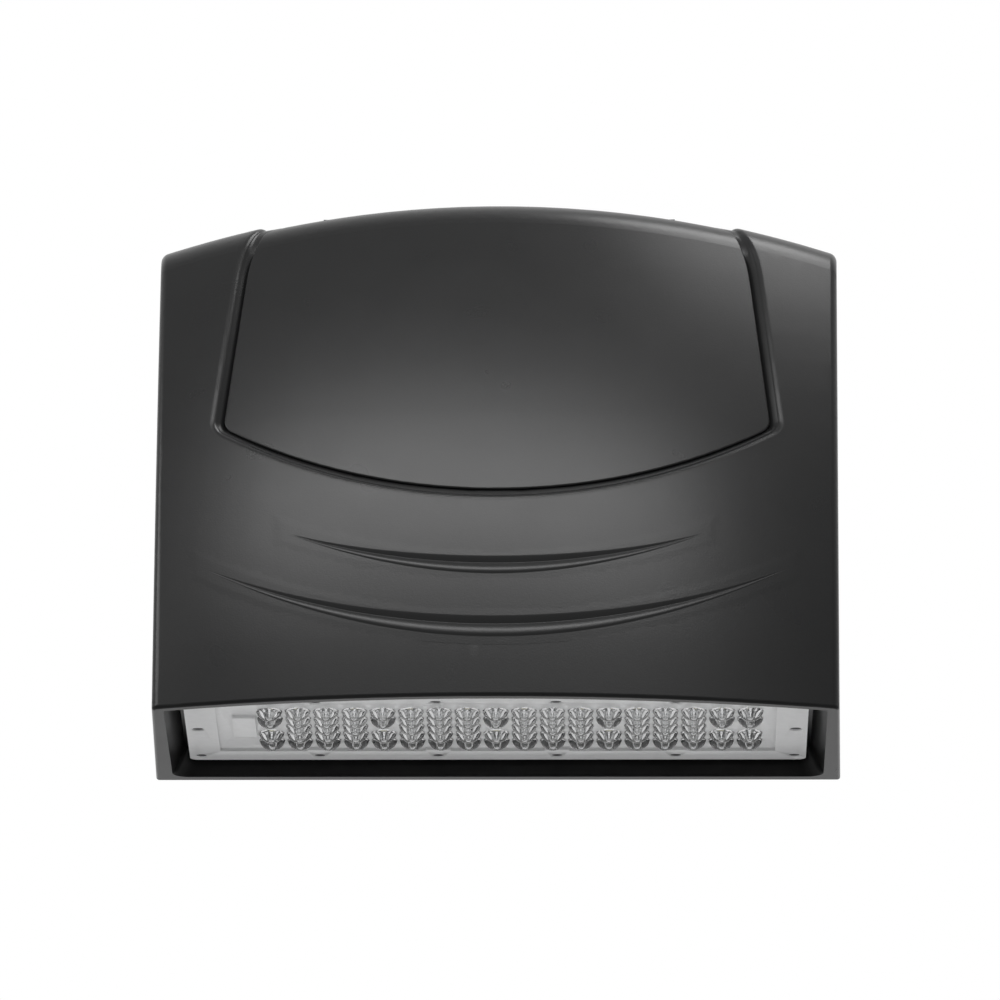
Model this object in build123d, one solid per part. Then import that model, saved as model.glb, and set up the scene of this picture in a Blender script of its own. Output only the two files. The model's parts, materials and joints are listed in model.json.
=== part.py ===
from build123d import *
import os
from math import asin, cos, degrees, radians, sin, sqrt, tan

os.makedirs("parts", exist_ok=True)

# A full cut-off wall light. X runs to the right, the light faces -Y, the wall is the plane Y = 0,
# Z is up, and the origin is the middle of the four wall-screw holes. All sizes are millimetres.

# Hood, outside
RIM_DROP = 150.0  # from the wall-screw centre down to the hood's bottom rim
HOOD_WIDTH = 350.0  # at the bottom of the rear rim
HOOD_HEIGHT = 302.4  # from the bottom rim to the top of the arch
HOOD_DEPTH = 166.5  # from the rear rim to the middle of the lip
SIDE_LEAN = 0.04  # degrees by which the sides lean in towards the top
DRAFT = 1.18  # degrees of mould draft towards the front
BOW_R = 598.0  # plan radius of the lip
FACE_R = 950.0  # radius of the front face seen from the side
FACE_LEAN = 13.0  # degrees by which the face leans back at the lip
ARCH_R = 650.0  # radius of the arched top
TOP_ROUND = 36.0  # round-over between the face and the top
EDGE_ROUND = 5.0  # round along the side edges
LIP_ROUND = 1.6  # round along the bottom edge of the lip

# Hood, walls
WALL = 5.0
PANEL_WALL = 8.5  # from the outer form to the inside behind the centre panel
RIM_WALL = 6.0  # lip round the light recess
REAR_WALL = 6.0
RECESS_SIDE = 8.7  # from the hood's side to the recess
RECESS_SLOPE = 6.5  # by which the recess's side walls lean in up to its ceiling
RECESS_ROUND = 8.0  # rear corners of the recess
PAN_RISE = 15.0  # ceiling of the recess above the rim
PAN_T = 4.0
SILL_RISE = 35.0  # top of the rear wall above the rim
FIN_COUNT = 5
FIN_T = 3.0
FIN_RISE = 46.0
FIN_REACH = 34.0

# Centre panel and the U-shaped channel round it
PANEL_SINK = 2.0  # panel below the wings
CHANNEL_SINK = 2.4  # channel floor behind the panel's face
CHANNEL_DIP = 1.0  # channel floor below the panel's top
CHANNEL_STOP = 18.0  # end of the channel in front of the rear rim
CHANNEL_SIDE = 5.5  # width of the channel at the sides
CHANNEL_FOOT = 4.1  # width of the channel along the bottom
WING_W = 31.0  # from the hood's side to the channel, near the channel's foot
WING_RISE = 164.2  # height of that width above the rim
PANEL_FOOT_RISE = 113.3  # lowest point of the channel above the rim
PANEL_FOOT_R = 250.0
PANEL_LEAN = 6.0  # degrees by which the sides of the panel lean in
PANEL_BEND_DROP = 49.2  # start of the sides' inward curve below the top
PANEL_CURVE_R = 95.0
PANEL_CURVE = 27.0  # degrees of that curve
PANEL_CORNER = 9.0
PANEL_BACKING = 4.0  # border round the panel that is cast as thick as it is
WING_ROUND = 1.8  # round along the wings' edge of the channel
PANEL_ROUND = 1.0  # round along the panel's edge of the channel

# Smile grooves: height above the rim, half length as a share of the hood's width, rise of the tips, width
SMILES = ((73.85, 0.602, 21.6, 8.3), (39.05, 0.81, 36.0, 9.9))
SMILE_SINK = 2.7
CREST_R = 3.0  # raised crest along the lower edge of a groove
CREST_PROUD = 0.8
CREST_LIFT = 0.7  # middle of the crest above the groove's lower edge

# Wall box
BOX_DEPTH = 40.0
BOX_WALL = 4.0
BOX_ROUND = 8.0
FLANGE_W = 13.0  # rim flange that carries the seal
FLANGE_T = 4.0
FLANGE_INSET = 1.5  # flange inside the hood's rear outline
BOX_RISE = 26.0  # bottom of the flange above the hood's rim
SEAL_T = 2.0  # compressed thickness of the seal
SEAL_INSET = 1.0  # seal inside the flange's outline
SEAL_W = 6.0
MOUNT_X = 220.0  # spacing of the wall-screw holes
MOUNT_Z = 150.0
MOUNT_HOLE_R = 3.5
MOUNT_BOSS_R = 9.0
MOUNT_BOSS_T = 3.0
WIRE_HOLE_R = 11.1
OUTLET_SPACING = 88.9  # slots for an outlet box
OUTLET_SLOT = 14.0
OUTLET_SLOT_W = 5.0
GROUND_X = -70.0
GROUND_Z = -85.0
GROUND_BOSS_R = 6.0
GROUND_BOSS_T = 5.0
GROUND_SCREW_R = 2.0
GROUND_SCREW_END = -2.0
GROUND_HEAD_R = 4.6
GROUND_HEAD_T = 2.6

# Conduit entries in the two sides and the bottom of the box
ENTRY_R = 10.4
ENTRY_BOSS_R = 15.0
ENTRY_BOSS_T = 10.0  # length of the entry's thread
ENTRY_PAD = 1.0  # flat pad outside the wall
ENTRY_Y = -(BOX_DEPTH - FLANGE_T) / 2
ENTRY_Z = 20.0
PLUG_HEAD_R = 13.5
PLUG_HEAD_T = 3.0
PLUG_RING_T = 1.6
PLUG_PLAY = 0.2
PLUG_SOCKET = 7.9  # hexagon socket across flats

# Hinge along the bottom
HINGE_X = 110.0
HINGE_BACK = 8.0  # hinge axis behind the hood's rear rim
HINGE_RISE = 18.0  # hinge axis above the hood's bottom rim
LUG_R = 6.5
LUG_W = 20.0  # hood's lug
CHEEK_W = 9.0  # the box's two lugs beside it
LUG_GAP = 0.5
PIN_R = 3.0
PIN_PLAY = 0.3
PIN_FIT = 0.1
PIN_HEAD_R = 5.0
PIN_HEAD_T = 2.0
CLIP_T = 0.8

# Cover screws on top of the box and the hood's slotted ears under them
EAR_X = 80.0
EAR_HALF = 11.0
EAR_T = 3.6
EAR_DROP = 7.0  # underside of the ear below the top of the arch
EAR_REACH = 18.0  # behind the hood's rear rim
EAR_ROOT = 4.0
EAR_ROOT_T = 7.0
COVER_SCREW_BACK = 12.0  # screw behind the hood's rear rim
COVER_SCREW_R = 2.5
COVER_HEAD_R = 4.5
COVER_HEAD_T = 3.2
COVER_BOSS_R = 6.0
COVER_BOSS_ROOT = 22.0  # foot of the boss below the top of the arch
COVER_SCREW_L = 17.0
EAR_NOTCH = 3.0  # room beside an ear
DRIVE_SLOT_W = 1.0
DRIVE_SLOT = 1.2
SLOT_PLAY = 0.5
GAP = 0.3  # clearance between pieces that part when the hood opens

# Optic plate
LENS_SIDE_GAP = 9.1  # from the recess's side walls
LENS_FRONT_GAP = 35.1  # from the middle of the lip
LENS_ROUND = 4.0
LENS_GAP = 5.4  # from the recess's rear wall
LENS_RISE = 7.7  # outer face of the flange above the rim
LENS_SEAL_T = 1.5
LENS_SEAL_INSET = 1.0
LENS_SIDE = 15.9  # flange round the optics
LENS_REAR = 17.0
LENS_FRONT = 11.3
LENS_SINK = 1.6  # optic panel above the flange's face
LENS_PANEL_T = 2.0
LOBE_W = 13.0  # lobes of the flange round the inner screws
LOBE_REACH = 2.3  # into the optic panel
BUMP_IN = 13.7  # middle of the connector's cover from the optic panel's left edge
BUMP_W = 11.7
BUMP_D = 38.0
BUMP_FRONT = 3.6  # middle of that cover in front of the plate's middle
BUMP_T = 1.7
BUMP_WALL = 1.1

# Small lenses, in columns and rows; some places in the middle row are free
PITCH = 14.26
ARRAY_X = 6.85
ARRAY_FRONT = 1.5  # middle of the array in front of the plate's middle
ARRAY_SIDES = 25.5  # plain panel beside the array, both sides together
ARRAY_ENDS = 17.0  # plain panel behind and in front of the array together
SCREW_STEP = 4  # every fourth place of the middle row holds a screw of the board
OPTIC_R = 6.6  # at the foot of a small lens
OPTIC_H = 5.4
OPTIC_HOLLOW_R = 3.2  # hollow over the LED
OPTIC_HOLLOW_H = 3.6

# Board
BOARD_T = 1.6
PAD_T = 0.5  # thermal pad
BOARD_INSET = 3.0  # inside the plate's inner wall
CHIP = 3.5
CHIP_T = 0.9
CONNECTOR_W = 9.0
CONNECTOR_D = 34.0
CONNECTOR_T = 3.0
BOARD_SCREW_HEAD_R = 2.7
BOARD_SCREW_HEAD_T = 1.1

# Lens screws
LENS_SCREW_COLUMNS = 6
LENS_SCREW_SIDE = 5.95  # screws from the plate's edges
LENS_SCREW_REAR = 7.7
LENS_SCREW_FRONT = 7.5
SCREW_R = 1.5
SCREW_PLAY = 0.15
SCREW_HOLE_R = 1.7
SCREW_HEAD_R = 2.8
SCREW_HEAD_T = 2.0
SCREW_SINK_R = 3.2
SCREW_SINK = 2.6
SCREW_BOSS_R = 4.0
SCREW_BOSS_T = 6.0
SCREW_END = 1.5  # blind end of the boss

# Driver, terminal block and leads inside the hood
DRIVER_L = 150.0
DRIVER_W = 58.0
DRIVER_H = 32.0
DRIVER_ROUND = 4.0
DRIVER_LIFT = 10.0
CAP_T = 3.0
FOOT_L = 14.0
FOOT_W = 36.0
FOOT_T = 2.0
FOOT_SCREW_Y = 12.0
FOOT_POST_R = 4.5
FOOT_HEAD_R = 3.2
FOOT_HEAD_T = 2.2
TERMINAL_IN = 37.3  # middle of the terminal block from the recess's side
TERMINAL_W = 34.0
TERMINAL_D = 24.0
TERMINAL_H = 20.0
TERMINAL_LIFT = 14.0
TERMINAL_POLES = 3
POLE_PITCH = 10.0
POLE_R = 3.0
POLE_DEEP = 6.0
LEAD_R = 2.5
SUPPLY_R = 3.0
LEAD_BEND = 14.0
LEAD_PLAY = 0.2
GROMMET_R = 5.4
GROMMET_FLANGE_R = 8.0
GROMMET_FLANGE_T = 2.0
GROMMET_PLAY = 0.1

RIM_Z = -RIM_DROP
TOP_Z = RIM_Z + HOOD_HEIGHT
HOOD_BACK = -(BOX_DEPTH + SEAL_T)  # plane of the hood's rear rim
LIP_Y = HOOD_BACK - HOOD_DEPTH
RECESS_BACK = HOOD_BACK - REAR_WALL
PAN_Z = RIM_Z + PAN_RISE
PAN_TOP = PAN_Z + PAN_T
BACK_SPARE = 34.0  # forms are built this far past the rear rim and then cut there
ARC_Y = LIP_Y + FACE_R * cos(radians(FACE_LEAN))
ARC_Z = RIM_Z - FACE_R * sin(radians(FACE_LEAN))
BOW_Y = LIP_Y + BOW_R
RECESS_HALF = HOOD_WIDTH / 2 - RECESS_SIDE
PANEL_HALF = HOOD_WIDTH / 2 - WING_W
TERMINAL_X = RECESS_HALF - TERMINAL_IN
LENS_BACK = RECESS_BACK - LENS_GAP
LENS_LIP = LIP_Y + LENS_FRONT_GAP
LENS_D = LENS_BACK - LENS_LIP
LENS_W = 2 * (RECESS_HALF - LENS_SIDE_GAP)
FIELD_W = LENS_W - 2 * LENS_SIDE
FIELD_D = LENS_D - LENS_REAR - LENS_FRONT
LENS_Z = RIM_Z + LENS_RISE
LENS_TOP = PAN_Z - LENS_SEAL_T
OPTIC_Z = LENS_Z + LENS_SINK
BOARD_Z = PAN_Z - PAD_T - BOARD_T
ARRAY_Y = LENS_BACK - LENS_D / 2 - ARRAY_FRONT
COLUMNS = int((FIELD_W - ARRAY_SIDES) / PITCH)
ROWS = int((FIELD_D - ARRAY_ENDS) / PITCH)
BUMP_X = BUMP_IN - FIELD_W / 2
BUMP_Y = LENS_BACK - LENS_D / 2 - BUMP_FRONT
HINGE_Y = HOOD_BACK + HINGE_BACK
HINGE_Z = RIM_Z + HINGE_RISE
EAR_Z = TOP_Z - EAR_DROP
COVER_SCREW_Y = HOOD_BACK + COVER_SCREW_BACK
DRIVER_Z = PAN_TOP + DRIVER_LIFT
LEAD_Z = DRIVER_Z + DRIVER_H / 2


def span(x0, x1, y0, y1, z0, z1):
    """A block between the given limits."""
    middle = Pos((x0 + x1) / 2, (y0 + y1) / 2, (z0 + z1) / 2)
    return middle * Box(abs(x1 - x0), abs(y1 - y0), abs(z1 - z0))


def post(x, y, z0, z1, radius):
    """An upright cylinder."""
    return Pos(x, y, (z0 + z1) / 2) * Cylinder(radius, abs(z1 - z0))


def bar(x0, x1, y, z, radius):
    """A cylinder that lies along X."""
    return Pos((x0 + x1) / 2, y, z) * Rot(0, 90, 0) * Cylinder(radius, abs(x1 - x0))


def stud(x, z, y0, y1, radius):
    """A cylinder that lies along Y."""
    return Pos(x, (y0 + y1) / 2, z) * Rot(90, 0, 0) * Cylinder(radius, abs(y1 - y0))


def face_y(x, z):
    """Y of the hood's outer face at a place in the front view."""
    middle_y = ARC_Y - sqrt(FACE_R**2 - (z - ARC_Z) ** 2)
    return BOW_Y - sqrt((BOW_Y - middle_y) ** 2 - x**2)


def half_width(z, inset):
    """Half the width of the rear outline at a height, moved in."""
    return HOOD_WIDTH / 2 - inset - (z - RIM_Z) * tan(radians(SIDE_LEAN))


def outline(inset, low, spare=0.0):
    """Rear outline of the hood, moved in, or the outline a little way behind it."""
    grow = spare * tan(radians(DRAFT))
    high = TOP_Z + ARCH_R / 8
    foot = half_width(low, inset - grow)
    head = half_width(high, inset - grow)
    sides = make_face(Polyline((-foot, low), (foot, low), (head, high), (-head, high), close=True))
    return sides & Pos(0, TOP_Z + grow - ARCH_R) * Circle(ARCH_R - inset)


def hood_form(inset, edge_round=0.0):
    """The hood's outside form, moved in all round; it runs on behind the rear rim and below the lip."""
    start = HOOD_BACK + BACK_SPARE
    radius = FACE_R - inset
    low = radians(FACE_LEAN - 1.0)
    high = asin((TOP_Z + TOP_ROUND / 2 - ARC_Z) / radius)
    foot, waist, head = [
        (ARC_Y - radius * cos(a), ARC_Z + radius * sin(a)) for a in (low, (low + high) / 2, high)
    ]
    back = Polyline(head, (start, head[1]), (start, foot[1]), foot)
    profile = make_face(Plane.YZ * (ThreePointArc(foot, waist, head) + back))
    swing = 2 * degrees(asin(HOOD_WIDTH / 2 / (BOW_Y - start)))
    body = revolve(profile, Axis((0, BOW_Y, 0), (0, 0, 1)), swing)
    body = Pos(0, BOW_Y, 0) * Rot(0, 0, -swing / 2) * Pos(0, -BOW_Y, 0) * body
    flat = Plane.XZ.offset(-start) * outline(inset, foot[1], BACK_SPARE)
    form = body & extrude(flat, HOOD_DEPTH + 2 * BACK_SPARE, taper=DRAFT)
    brow = form.edges().filter_by(lambda e: abs(e.center().X) < 1 and e.center().Z > TOP_Z - TOP_ROUND)
    form = fillet(brow.sort_by(Axis.Y)[0], TOP_ROUND - inset)
    if edge_round:
        corners = form.edges().filter_by(
            lambda e: abs(e.center().X) > HOOD_WIDTH / 2 - 3 * edge_round
            and min(v.Y for v in e.vertices()) < HOOD_BACK
            and max(v.Z for v in e.vertices()) > RIM_Z
        )
        form = fillet(corners, edge_round)
    return form


def panel_outline(side_in, foot_up):
    """Front outline of the centre panel, running on above the hood."""
    lean = radians(PANEL_LEAN)
    way = Vector(sin(lean), cos(lean))
    base = Vector(side_in - PANEL_HALF, RIM_Z + WING_RISE)
    foot = Vector(0, RIM_Z + PANEL_FOOT_RISE + foot_up)
    from_hub = base - foot - Vector(0, PANEL_FOOT_R)
    along = from_hub.dot(way)
    run = along + sqrt(along**2 - from_hub.dot(from_hub) + PANEL_FOOT_R**2)
    corner = base - way * run
    bend = corner + way * ((TOP_Z - PANEL_BEND_DROP - corner.Y) / way.Y)
    curve = JernArc(bend, way, PANEL_CURVE_R, -PANEL_CURVE)
    tip = curve @ 1 + (curve % 1) * PANEL_BEND_DROP
    side = Curve() + [Line(corner, bend), curve, Line(curve @ 1, tip)]
    other = mirror(side, Plane.YZ)
    foot_arc = ThreePointArc(corner, foot, Vector(-corner.X, corner.Y))
    face = make_face(side + other + foot_arc + Line(tip, Vector(-tip.X, tip.Y)))
    return fillet(face.vertices().sort_by(Axis.Y)[:2], PANEL_CORNER)


def panel_prism(side_in, foot_up):
    """The panel's outline taken through the whole depth of the hood."""
    flat = Plane.XZ.offset(-HOOD_BACK - BACK_SPARE) * panel_outline(side_in, foot_up)
    return extrude(flat, HOOD_DEPTH + 2 * BACK_SPARE)


def off_face(x, z, out):
    """A point that stands off the hood's face, along the face's lean."""
    lean = asin((z - ARC_Z) / FACE_R)
    return Vector(x, face_y(x, z) - out * cos(lean), z + out * sin(lean))


def face_ring(reach, low, tip, tube_r, middle_out, tip_out):
    """A ring that passes the face at the middle and at both tips, at the given distances off it."""
    middle = off_face(0, low, middle_out)
    end = off_face(reach, tip, tip_out)
    rise = Vector(0, end.Y, end.Z) - middle
    ring_r = (reach**2 + rise.length**2) / (2 * rise.length)
    up = rise.normalized()
    return Plane(middle + up * ring_r, z_dir=(0, -up.Z, up.Y)) * Torus(ring_r, tube_r)


def smile(hood, rise, share, lift, width):
    """The hood with a groove that fades out at both tips, and the crest along its lower edge."""
    reach = share * HOOD_WIDTH / 2
    low, tip = RIM_Z + rise, RIM_Z + rise + lift
    tube_r = ((width / 2) ** 2 + SMILE_SINK**2) / (2 * SMILE_SINK)
    hood -= face_ring(reach, low, tip, tube_r, tube_r - SMILE_SINK, tube_r)
    edge = low - width / 2 + CREST_LIFT
    crest = face_ring(reach, edge, tip, CREST_R, CREST_PROUD - CREST_R, -CREST_R - GAP)
    return hood + (crest & span(-reach, reach, LIP_Y - width, HOOD_BACK, RIM_Z, tip))


def array_places():
    """X, Y, column and row of every place in the array of small lenses."""
    for column in range(COLUMNS):
        for row in range(ROWS):
            x = ARRAY_X + (column - (COLUMNS - 1) / 2) * PITCH
            y = ARRAY_Y + (row - (ROWS - 1) / 2) * PITCH
            yield x, y, column, row


def is_screw_place(column, row):
    """Whether a place in the array holds a screw of the board."""
    return row == ROWS // 2 and column % SCREW_STEP == 0


def is_free(column, row):
    """Whether a place in the array has no small lens."""
    return is_screw_place(column, row) or (row == ROWS // 2 and column == COLUMNS - 1)


LENS_PLACES = [(x, y) for x, y, column, row in array_places() if not is_free(column, row)]
BOARD_SCREWS = [(x, y) for x, y, column, row in array_places() if is_screw_place(column, row)]
LENS_SCREW_PITCH = (LENS_W - 2 * LENS_SCREW_SIDE) / (LENS_SCREW_COLUMNS - 1)
LENS_SCREW_XS = [(i - (LENS_SCREW_COLUMNS - 1) / 2) * LENS_SCREW_PITCH for i in range(LENS_SCREW_COLUMNS)]
LENS_SCREW_YS = (LENS_BACK - LENS_SCREW_REAR, LENS_LIP + LENS_SCREW_FRONT)
LENS_SCREWS = [(x, y) for x in LENS_SCREW_XS for y in LENS_SCREW_YS]
LENS_SCREWS += [(x, sum(LENS_SCREW_YS) / 2) for x in (LENS_SCREW_XS[0], LENS_SCREW_XS[-1])]
FOOT_X = DRIVER_L / 2 + CAP_T + FOOT_L / 2
FOOT_SCREWS = [(x, BUMP_Y + y) for x in (-FOOT_X, FOOT_X) for y in (-FOOT_SCREW_Y, FOOT_SCREW_Y)]
FIN_XS = [(i - (FIN_COUNT - 1) / 2) * LENS_SCREW_PITCH for i in range(FIN_COUNT)]
POLES = [TERMINAL_X + (i - (TERMINAL_POLES - 1) / 2) * POLE_PITCH for i in range(TERMINAL_POLES)]
MOUNT_HOLES = [(x * MOUNT_X / 2, z * MOUNT_Z / 2) for x in (-1, 1) for z in (-1, 1)]
COVER_SEAT = EAR_Z + EAR_T + GAP
CLIP_BORE_R = PIN_R - 2 * PIN_PLAY


def rising_screw(x, y, seat, head_r, head_t, shank_r, length):
    """A screw driven upwards, with its head under the seat."""
    head = post(x, y, seat - head_t, seat, head_r)
    return head + post(x, y, seat, seat + length, shank_r)


def sinking_screw(x, y, seat, head_r, head_t, shank_r, length):
    """A screw driven downwards, with its head on the seat."""
    head = post(x, y, seat, seat + head_t, head_r)
    return head + post(x, y, seat - length, seat, shank_r)


def edges_along(solid, side_in, foot_up, sink):
    """Edges that follow the panel's outline and lie outside a form moved in by the given amount."""
    line = panel_outline(side_in, foot_up).wire()
    core = hood_form(sink)

    def follows(edge):
        start, middle, end = edge @ 0, edge @ 0.5, edge @ 1
        near = line.distance_to(Vertex(middle.X, middle.Z, 0)) < GAP / 10
        across = abs(start.X - end.X) + abs(start.Z - end.Z) > GAP
        ahead = min(start.Y, end.Y) < HOOD_BACK
        return near and across and ahead and not core.is_inside(middle)

    return solid.edges().filter_by(follows)


def front_housing():
    """The cast hood with its panel, grooves, light recess, pan, fins, hinge lugs and ears."""
    wide = HOOD_WIDTH
    hood = hood_form(0, EDGE_ROUND)
    panel_form = hood_form(PANEL_SINK)
    hood -= panel_prism(0, 0) - Pos(0, CHANNEL_SINK, -CHANNEL_DIP) * panel_form
    hood = fillet(edges_along(hood, 0, 0, PANEL_SINK / 2), WING_ROUND)
    channel_end = span(-wide, wide, HOOD_BACK - CHANNEL_STOP, wide, RIM_Z, TOP_Z + wide)
    hood += panel_prism(0, 0) & panel_form & channel_end
    island = panel_prism(CHANNEL_SIDE, CHANNEL_FOOT) & panel_form
    hood += fillet(edges_along(island, CHANNEL_SIDE, CHANNEL_FOOT, PANEL_SINK + CHANNEL_DIP), PANEL_ROUND)
    for place in SMILES:
        hood = smile(hood, *place)

    hood -= span(-wide, wide, HOOD_BACK, wide, RIM_Z - wide, TOP_Z + wide)
    hood -= span(-wide, wide, LIP_Y - wide, wide, RIM_Z - wide, RIM_Z)
    lip = hood.edges().filter_by_position(Axis.Z, RIM_Z, RIM_Z)
    hood = fillet(lip.filter_by(lambda e: e.center().Y < HOOD_BACK - LIP_ROUND), LIP_ROUND)

    cavity = hood_form(WALL) - panel_prism(-PANEL_BACKING, -PANEL_BACKING)
    cavity -= span(-wide, wide, RECESS_BACK, wide, RIM_Z - wide, TOP_Z + wide)
    cavity += hood_form(PANEL_WALL)
    cavity -= span(-wide, wide, LIP_Y - wide, wide, RIM_Z - wide, PAN_TOP)
    cavity -= span(-wide, wide, RECESS_BACK, wide, RIM_Z - wide, RIM_Z + SILL_RISE)
    hood -= cavity

    hood -= light_recess() & hood_form(RIM_WALL)
    hood += [fin(x) for x in FIN_XS]

    boss_top = PAN_TOP + SCREW_BOSS_T
    bosses = [post(x, y, PAN_Z + PAN_T / 2, boss_top, SCREW_BOSS_R) for x, y in LENS_SCREWS + BOARD_SCREWS]
    bosses += [post(x, y, PAN_Z + PAN_T / 2, DRIVER_Z, FOOT_POST_R) for x, y in FOOT_SCREWS]
    bosses.append(terminal_pedestal())
    hood += bosses
    thread_r = SCREW_R + SCREW_PLAY
    drilled = [post(x, y, PAN_Z, boss_top - SCREW_END, thread_r) for x, y in LENS_SCREWS + BOARD_SCREWS]
    drilled += [post(x, y, PAN_TOP, DRIVER_Z, thread_r) for x, y in FOOT_SCREWS]
    drilled.append(post(BUMP_X, BUMP_Y, PAN_Z, PAN_TOP, GROMMET_R + GROMMET_PLAY))
    hood -= drilled

    for side in (-1, 1):
        hood += hood_lug(side * HINGE_X)
        hood += ear(side * EAR_X)
    return hood


def light_recess():
    """Room for the optic plate under the hood, narrower at its ceiling."""
    foot, head = RECESS_HALF, RECESS_HALF - RECESS_SLOPE
    spread = RECESS_SLOPE * RIM_WALL / PAN_RISE
    low = RIM_Z - RIM_WALL
    flat = make_face(
        Polyline((-foot - spread, low), (foot + spread, low), (head, PAN_Z), (-head, PAN_Z), close=True)
    )
    room = extrude(Plane.XZ.offset(-RECESS_BACK) * flat, RECESS_BACK - LIP_Y)
    rear_corners = room.edges().filter_by(Axis.X, reverse=True).group_by(Axis.Y)[-1]
    return fillet(rear_corners, RECESS_ROUND)


def fin(x):
    """A triangular fin between the pan and the front wall."""
    front = face_y(x, PAN_TOP)
    foot = front + WALL + FIN_REACH
    low = PAN_Z + PAN_T / 2
    side = Polyline((front, low), (foot, low), (foot, PAN_TOP), (front, PAN_TOP + FIN_RISE), close=True)
    flat = extrude(Plane.YZ.offset(x) * make_face(side), FIN_T / 2, both=True)
    return flat & hood_form(WALL / 2)


def terminal_pedestal():
    """Cast block under the terminal block."""
    half_w, half_d = TERMINAL_W / 2, TERMINAL_D / 2
    low, high = PAN_Z + PAN_T / 2, PAN_TOP + TERMINAL_LIFT
    return span(TERMINAL_X - half_w, TERMINAL_X + half_w, BUMP_Y - half_d, BUMP_Y + half_d, low, high)


def hood_lug(x):
    """Hinge lug on the hood's rear wall, with its bore."""
    half = LUG_W / 2
    lug = bar(x - half, x + half, HINGE_Y, HINGE_Z, LUG_R)
    lug += span(x - half, x + half, HOOD_BACK - REAR_WALL / 2, HINGE_Y, HINGE_Z - LUG_R, HINGE_Z + LUG_R)
    return lug - bar(x - half, x + half, HINGE_Y, HINGE_Z, PIN_R + PIN_PLAY)


def ear(x):
    """Slotted ear on the hood's top rear edge, open to the rear."""
    left, right = x - EAR_HALF, x + EAR_HALF
    tab = span(left, right, HOOD_BACK - EAR_ROOT, HOOD_BACK + EAR_REACH, EAR_Z, EAR_Z + EAR_T)
    tab = fillet(tab.edges().filter_by(Axis.Z).group_by(Axis.Y)[-1], EAR_T)
    root = span(left, right, HOOD_BACK - EAR_ROOT, HOOD_BACK, EAR_Z + EAR_T - EAR_ROOT_T, EAR_Z + EAR_T)
    slot_r = COVER_SCREW_R + SLOT_PLAY
    slot = post(x, COVER_SCREW_Y, EAR_Z, EAR_Z + EAR_T, slot_r)
    slot += span(x - slot_r, x + slot_r, COVER_SCREW_Y, 0, EAR_Z, EAR_Z + EAR_T)
    return tab + root - slot


def box_ring(inset, low, y0, y1, corner):
    """The hood's rear outline, moved in and rounded, between two planes."""
    flat = outline(inset, low)
    flat = fillet(flat.vertices(), corner)
    return extrude(Plane.XZ.offset(-y0) * flat, y0 - y1)


def entries():
    """Place of each conduit entry on the box's outer wall, with its axis outwards."""
    inset = FLANGE_INSET + FLANGE_W
    side_x = half_width(ENTRY_Z, inset)
    yield Plane((side_x, ENTRY_Y, ENTRY_Z), z_dir=(1, 0, 0))
    yield Plane((-side_x, ENTRY_Y, ENTRY_Z), z_dir=(-1, 0, 0))
    yield Plane((0, ENTRY_Y, RIM_Z + BOX_RISE + FLANGE_W), z_dir=(0, 0, -1))


def back_box():
    """The shallow wall box with its flange, entries, hinge cheeks and screw bosses."""
    low = RIM_Z + BOX_RISE
    body_inset = FLANGE_INSET + FLANGE_W
    inner = body_inset + BOX_WALL
    box = box_ring(FLANGE_INSET, low, FLANGE_T - BOX_DEPTH, -BOX_DEPTH, BOX_ROUND)
    box += box_ring(body_inset, low + FLANGE_W, 0, -BOX_DEPTH, BOX_ROUND)
    hollow = box_ring(inner, low + FLANGE_W + BOX_WALL, -BOX_WALL, -BOX_DEPTH, BOX_ROUND - BOX_WALL)
    box -= hollow

    boss_y = -BOX_WALL - MOUNT_BOSS_T
    box += [stud(x, z, -BOX_WALL / 2, boss_y, MOUNT_BOSS_R) for x, z in MOUNT_HOLES]
    box += stud(GROUND_X, GROUND_Z, -BOX_WALL / 2, -BOX_WALL - GROUND_BOSS_T, GROUND_BOSS_R)
    for place in entries():
        deep = ENTRY_BOSS_T - ENTRY_PAD
        box += place.offset((ENTRY_PAD - deep) / 2) * Cylinder(ENTRY_BOSS_R, ENTRY_BOSS_T)
        box -= place.offset((ENTRY_PAD - deep) / 2) * Cylinder(ENTRY_R, ENTRY_BOSS_T)

    cuts = [stud(x, z, 0, boss_y, MOUNT_HOLE_R) for x, z in MOUNT_HOLES]
    cuts.append(stud(0, 0, 0, -BOX_WALL, WIRE_HOLE_R))
    for side in (-1, 1):
        slot = Plane.XZ * Pos(side * OUTLET_SPACING / 2, 0) * SlotOverall(OUTLET_SLOT, OUTLET_SLOT_W)
        cuts.append(extrude(slot, BOX_WALL))
    ground_face = -BOX_WALL - GROUND_BOSS_T
    cuts.append(stud(GROUND_X, GROUND_Z, GROUND_SCREW_END, ground_face, GROUND_SCREW_R + SCREW_PLAY))
    box -= cuts

    ear_seat = EAR_Z - GAP
    notch_half = EAR_HALF + EAR_NOTCH
    for side in (-1, 1):
        x = side * EAR_X
        box -= span(x - notch_half, x + notch_half, FLANGE_T - BOX_DEPTH, -BOX_DEPTH, ear_seat, TOP_Z)
        box += post(x, COVER_SCREW_Y, TOP_Z - COVER_BOSS_ROOT, ear_seat, COVER_BOSS_R)
        web_front = FLANGE_T / 2 - BOX_DEPTH
        box += span(
            x - COVER_BOSS_R, x + COVER_BOSS_R, web_front, COVER_SCREW_Y, TOP_Z - COVER_BOSS_ROOT, ear_seat
        )
        hole_end = COVER_SEAT - COVER_SCREW_L - GAP
        box -= post(x, COVER_SCREW_Y, hole_end, ear_seat, COVER_SCREW_R + SCREW_PLAY)
        for cheek_side in (-1, 1):
            box += cheek(side * HINGE_X, cheek_side)
    return box


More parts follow.
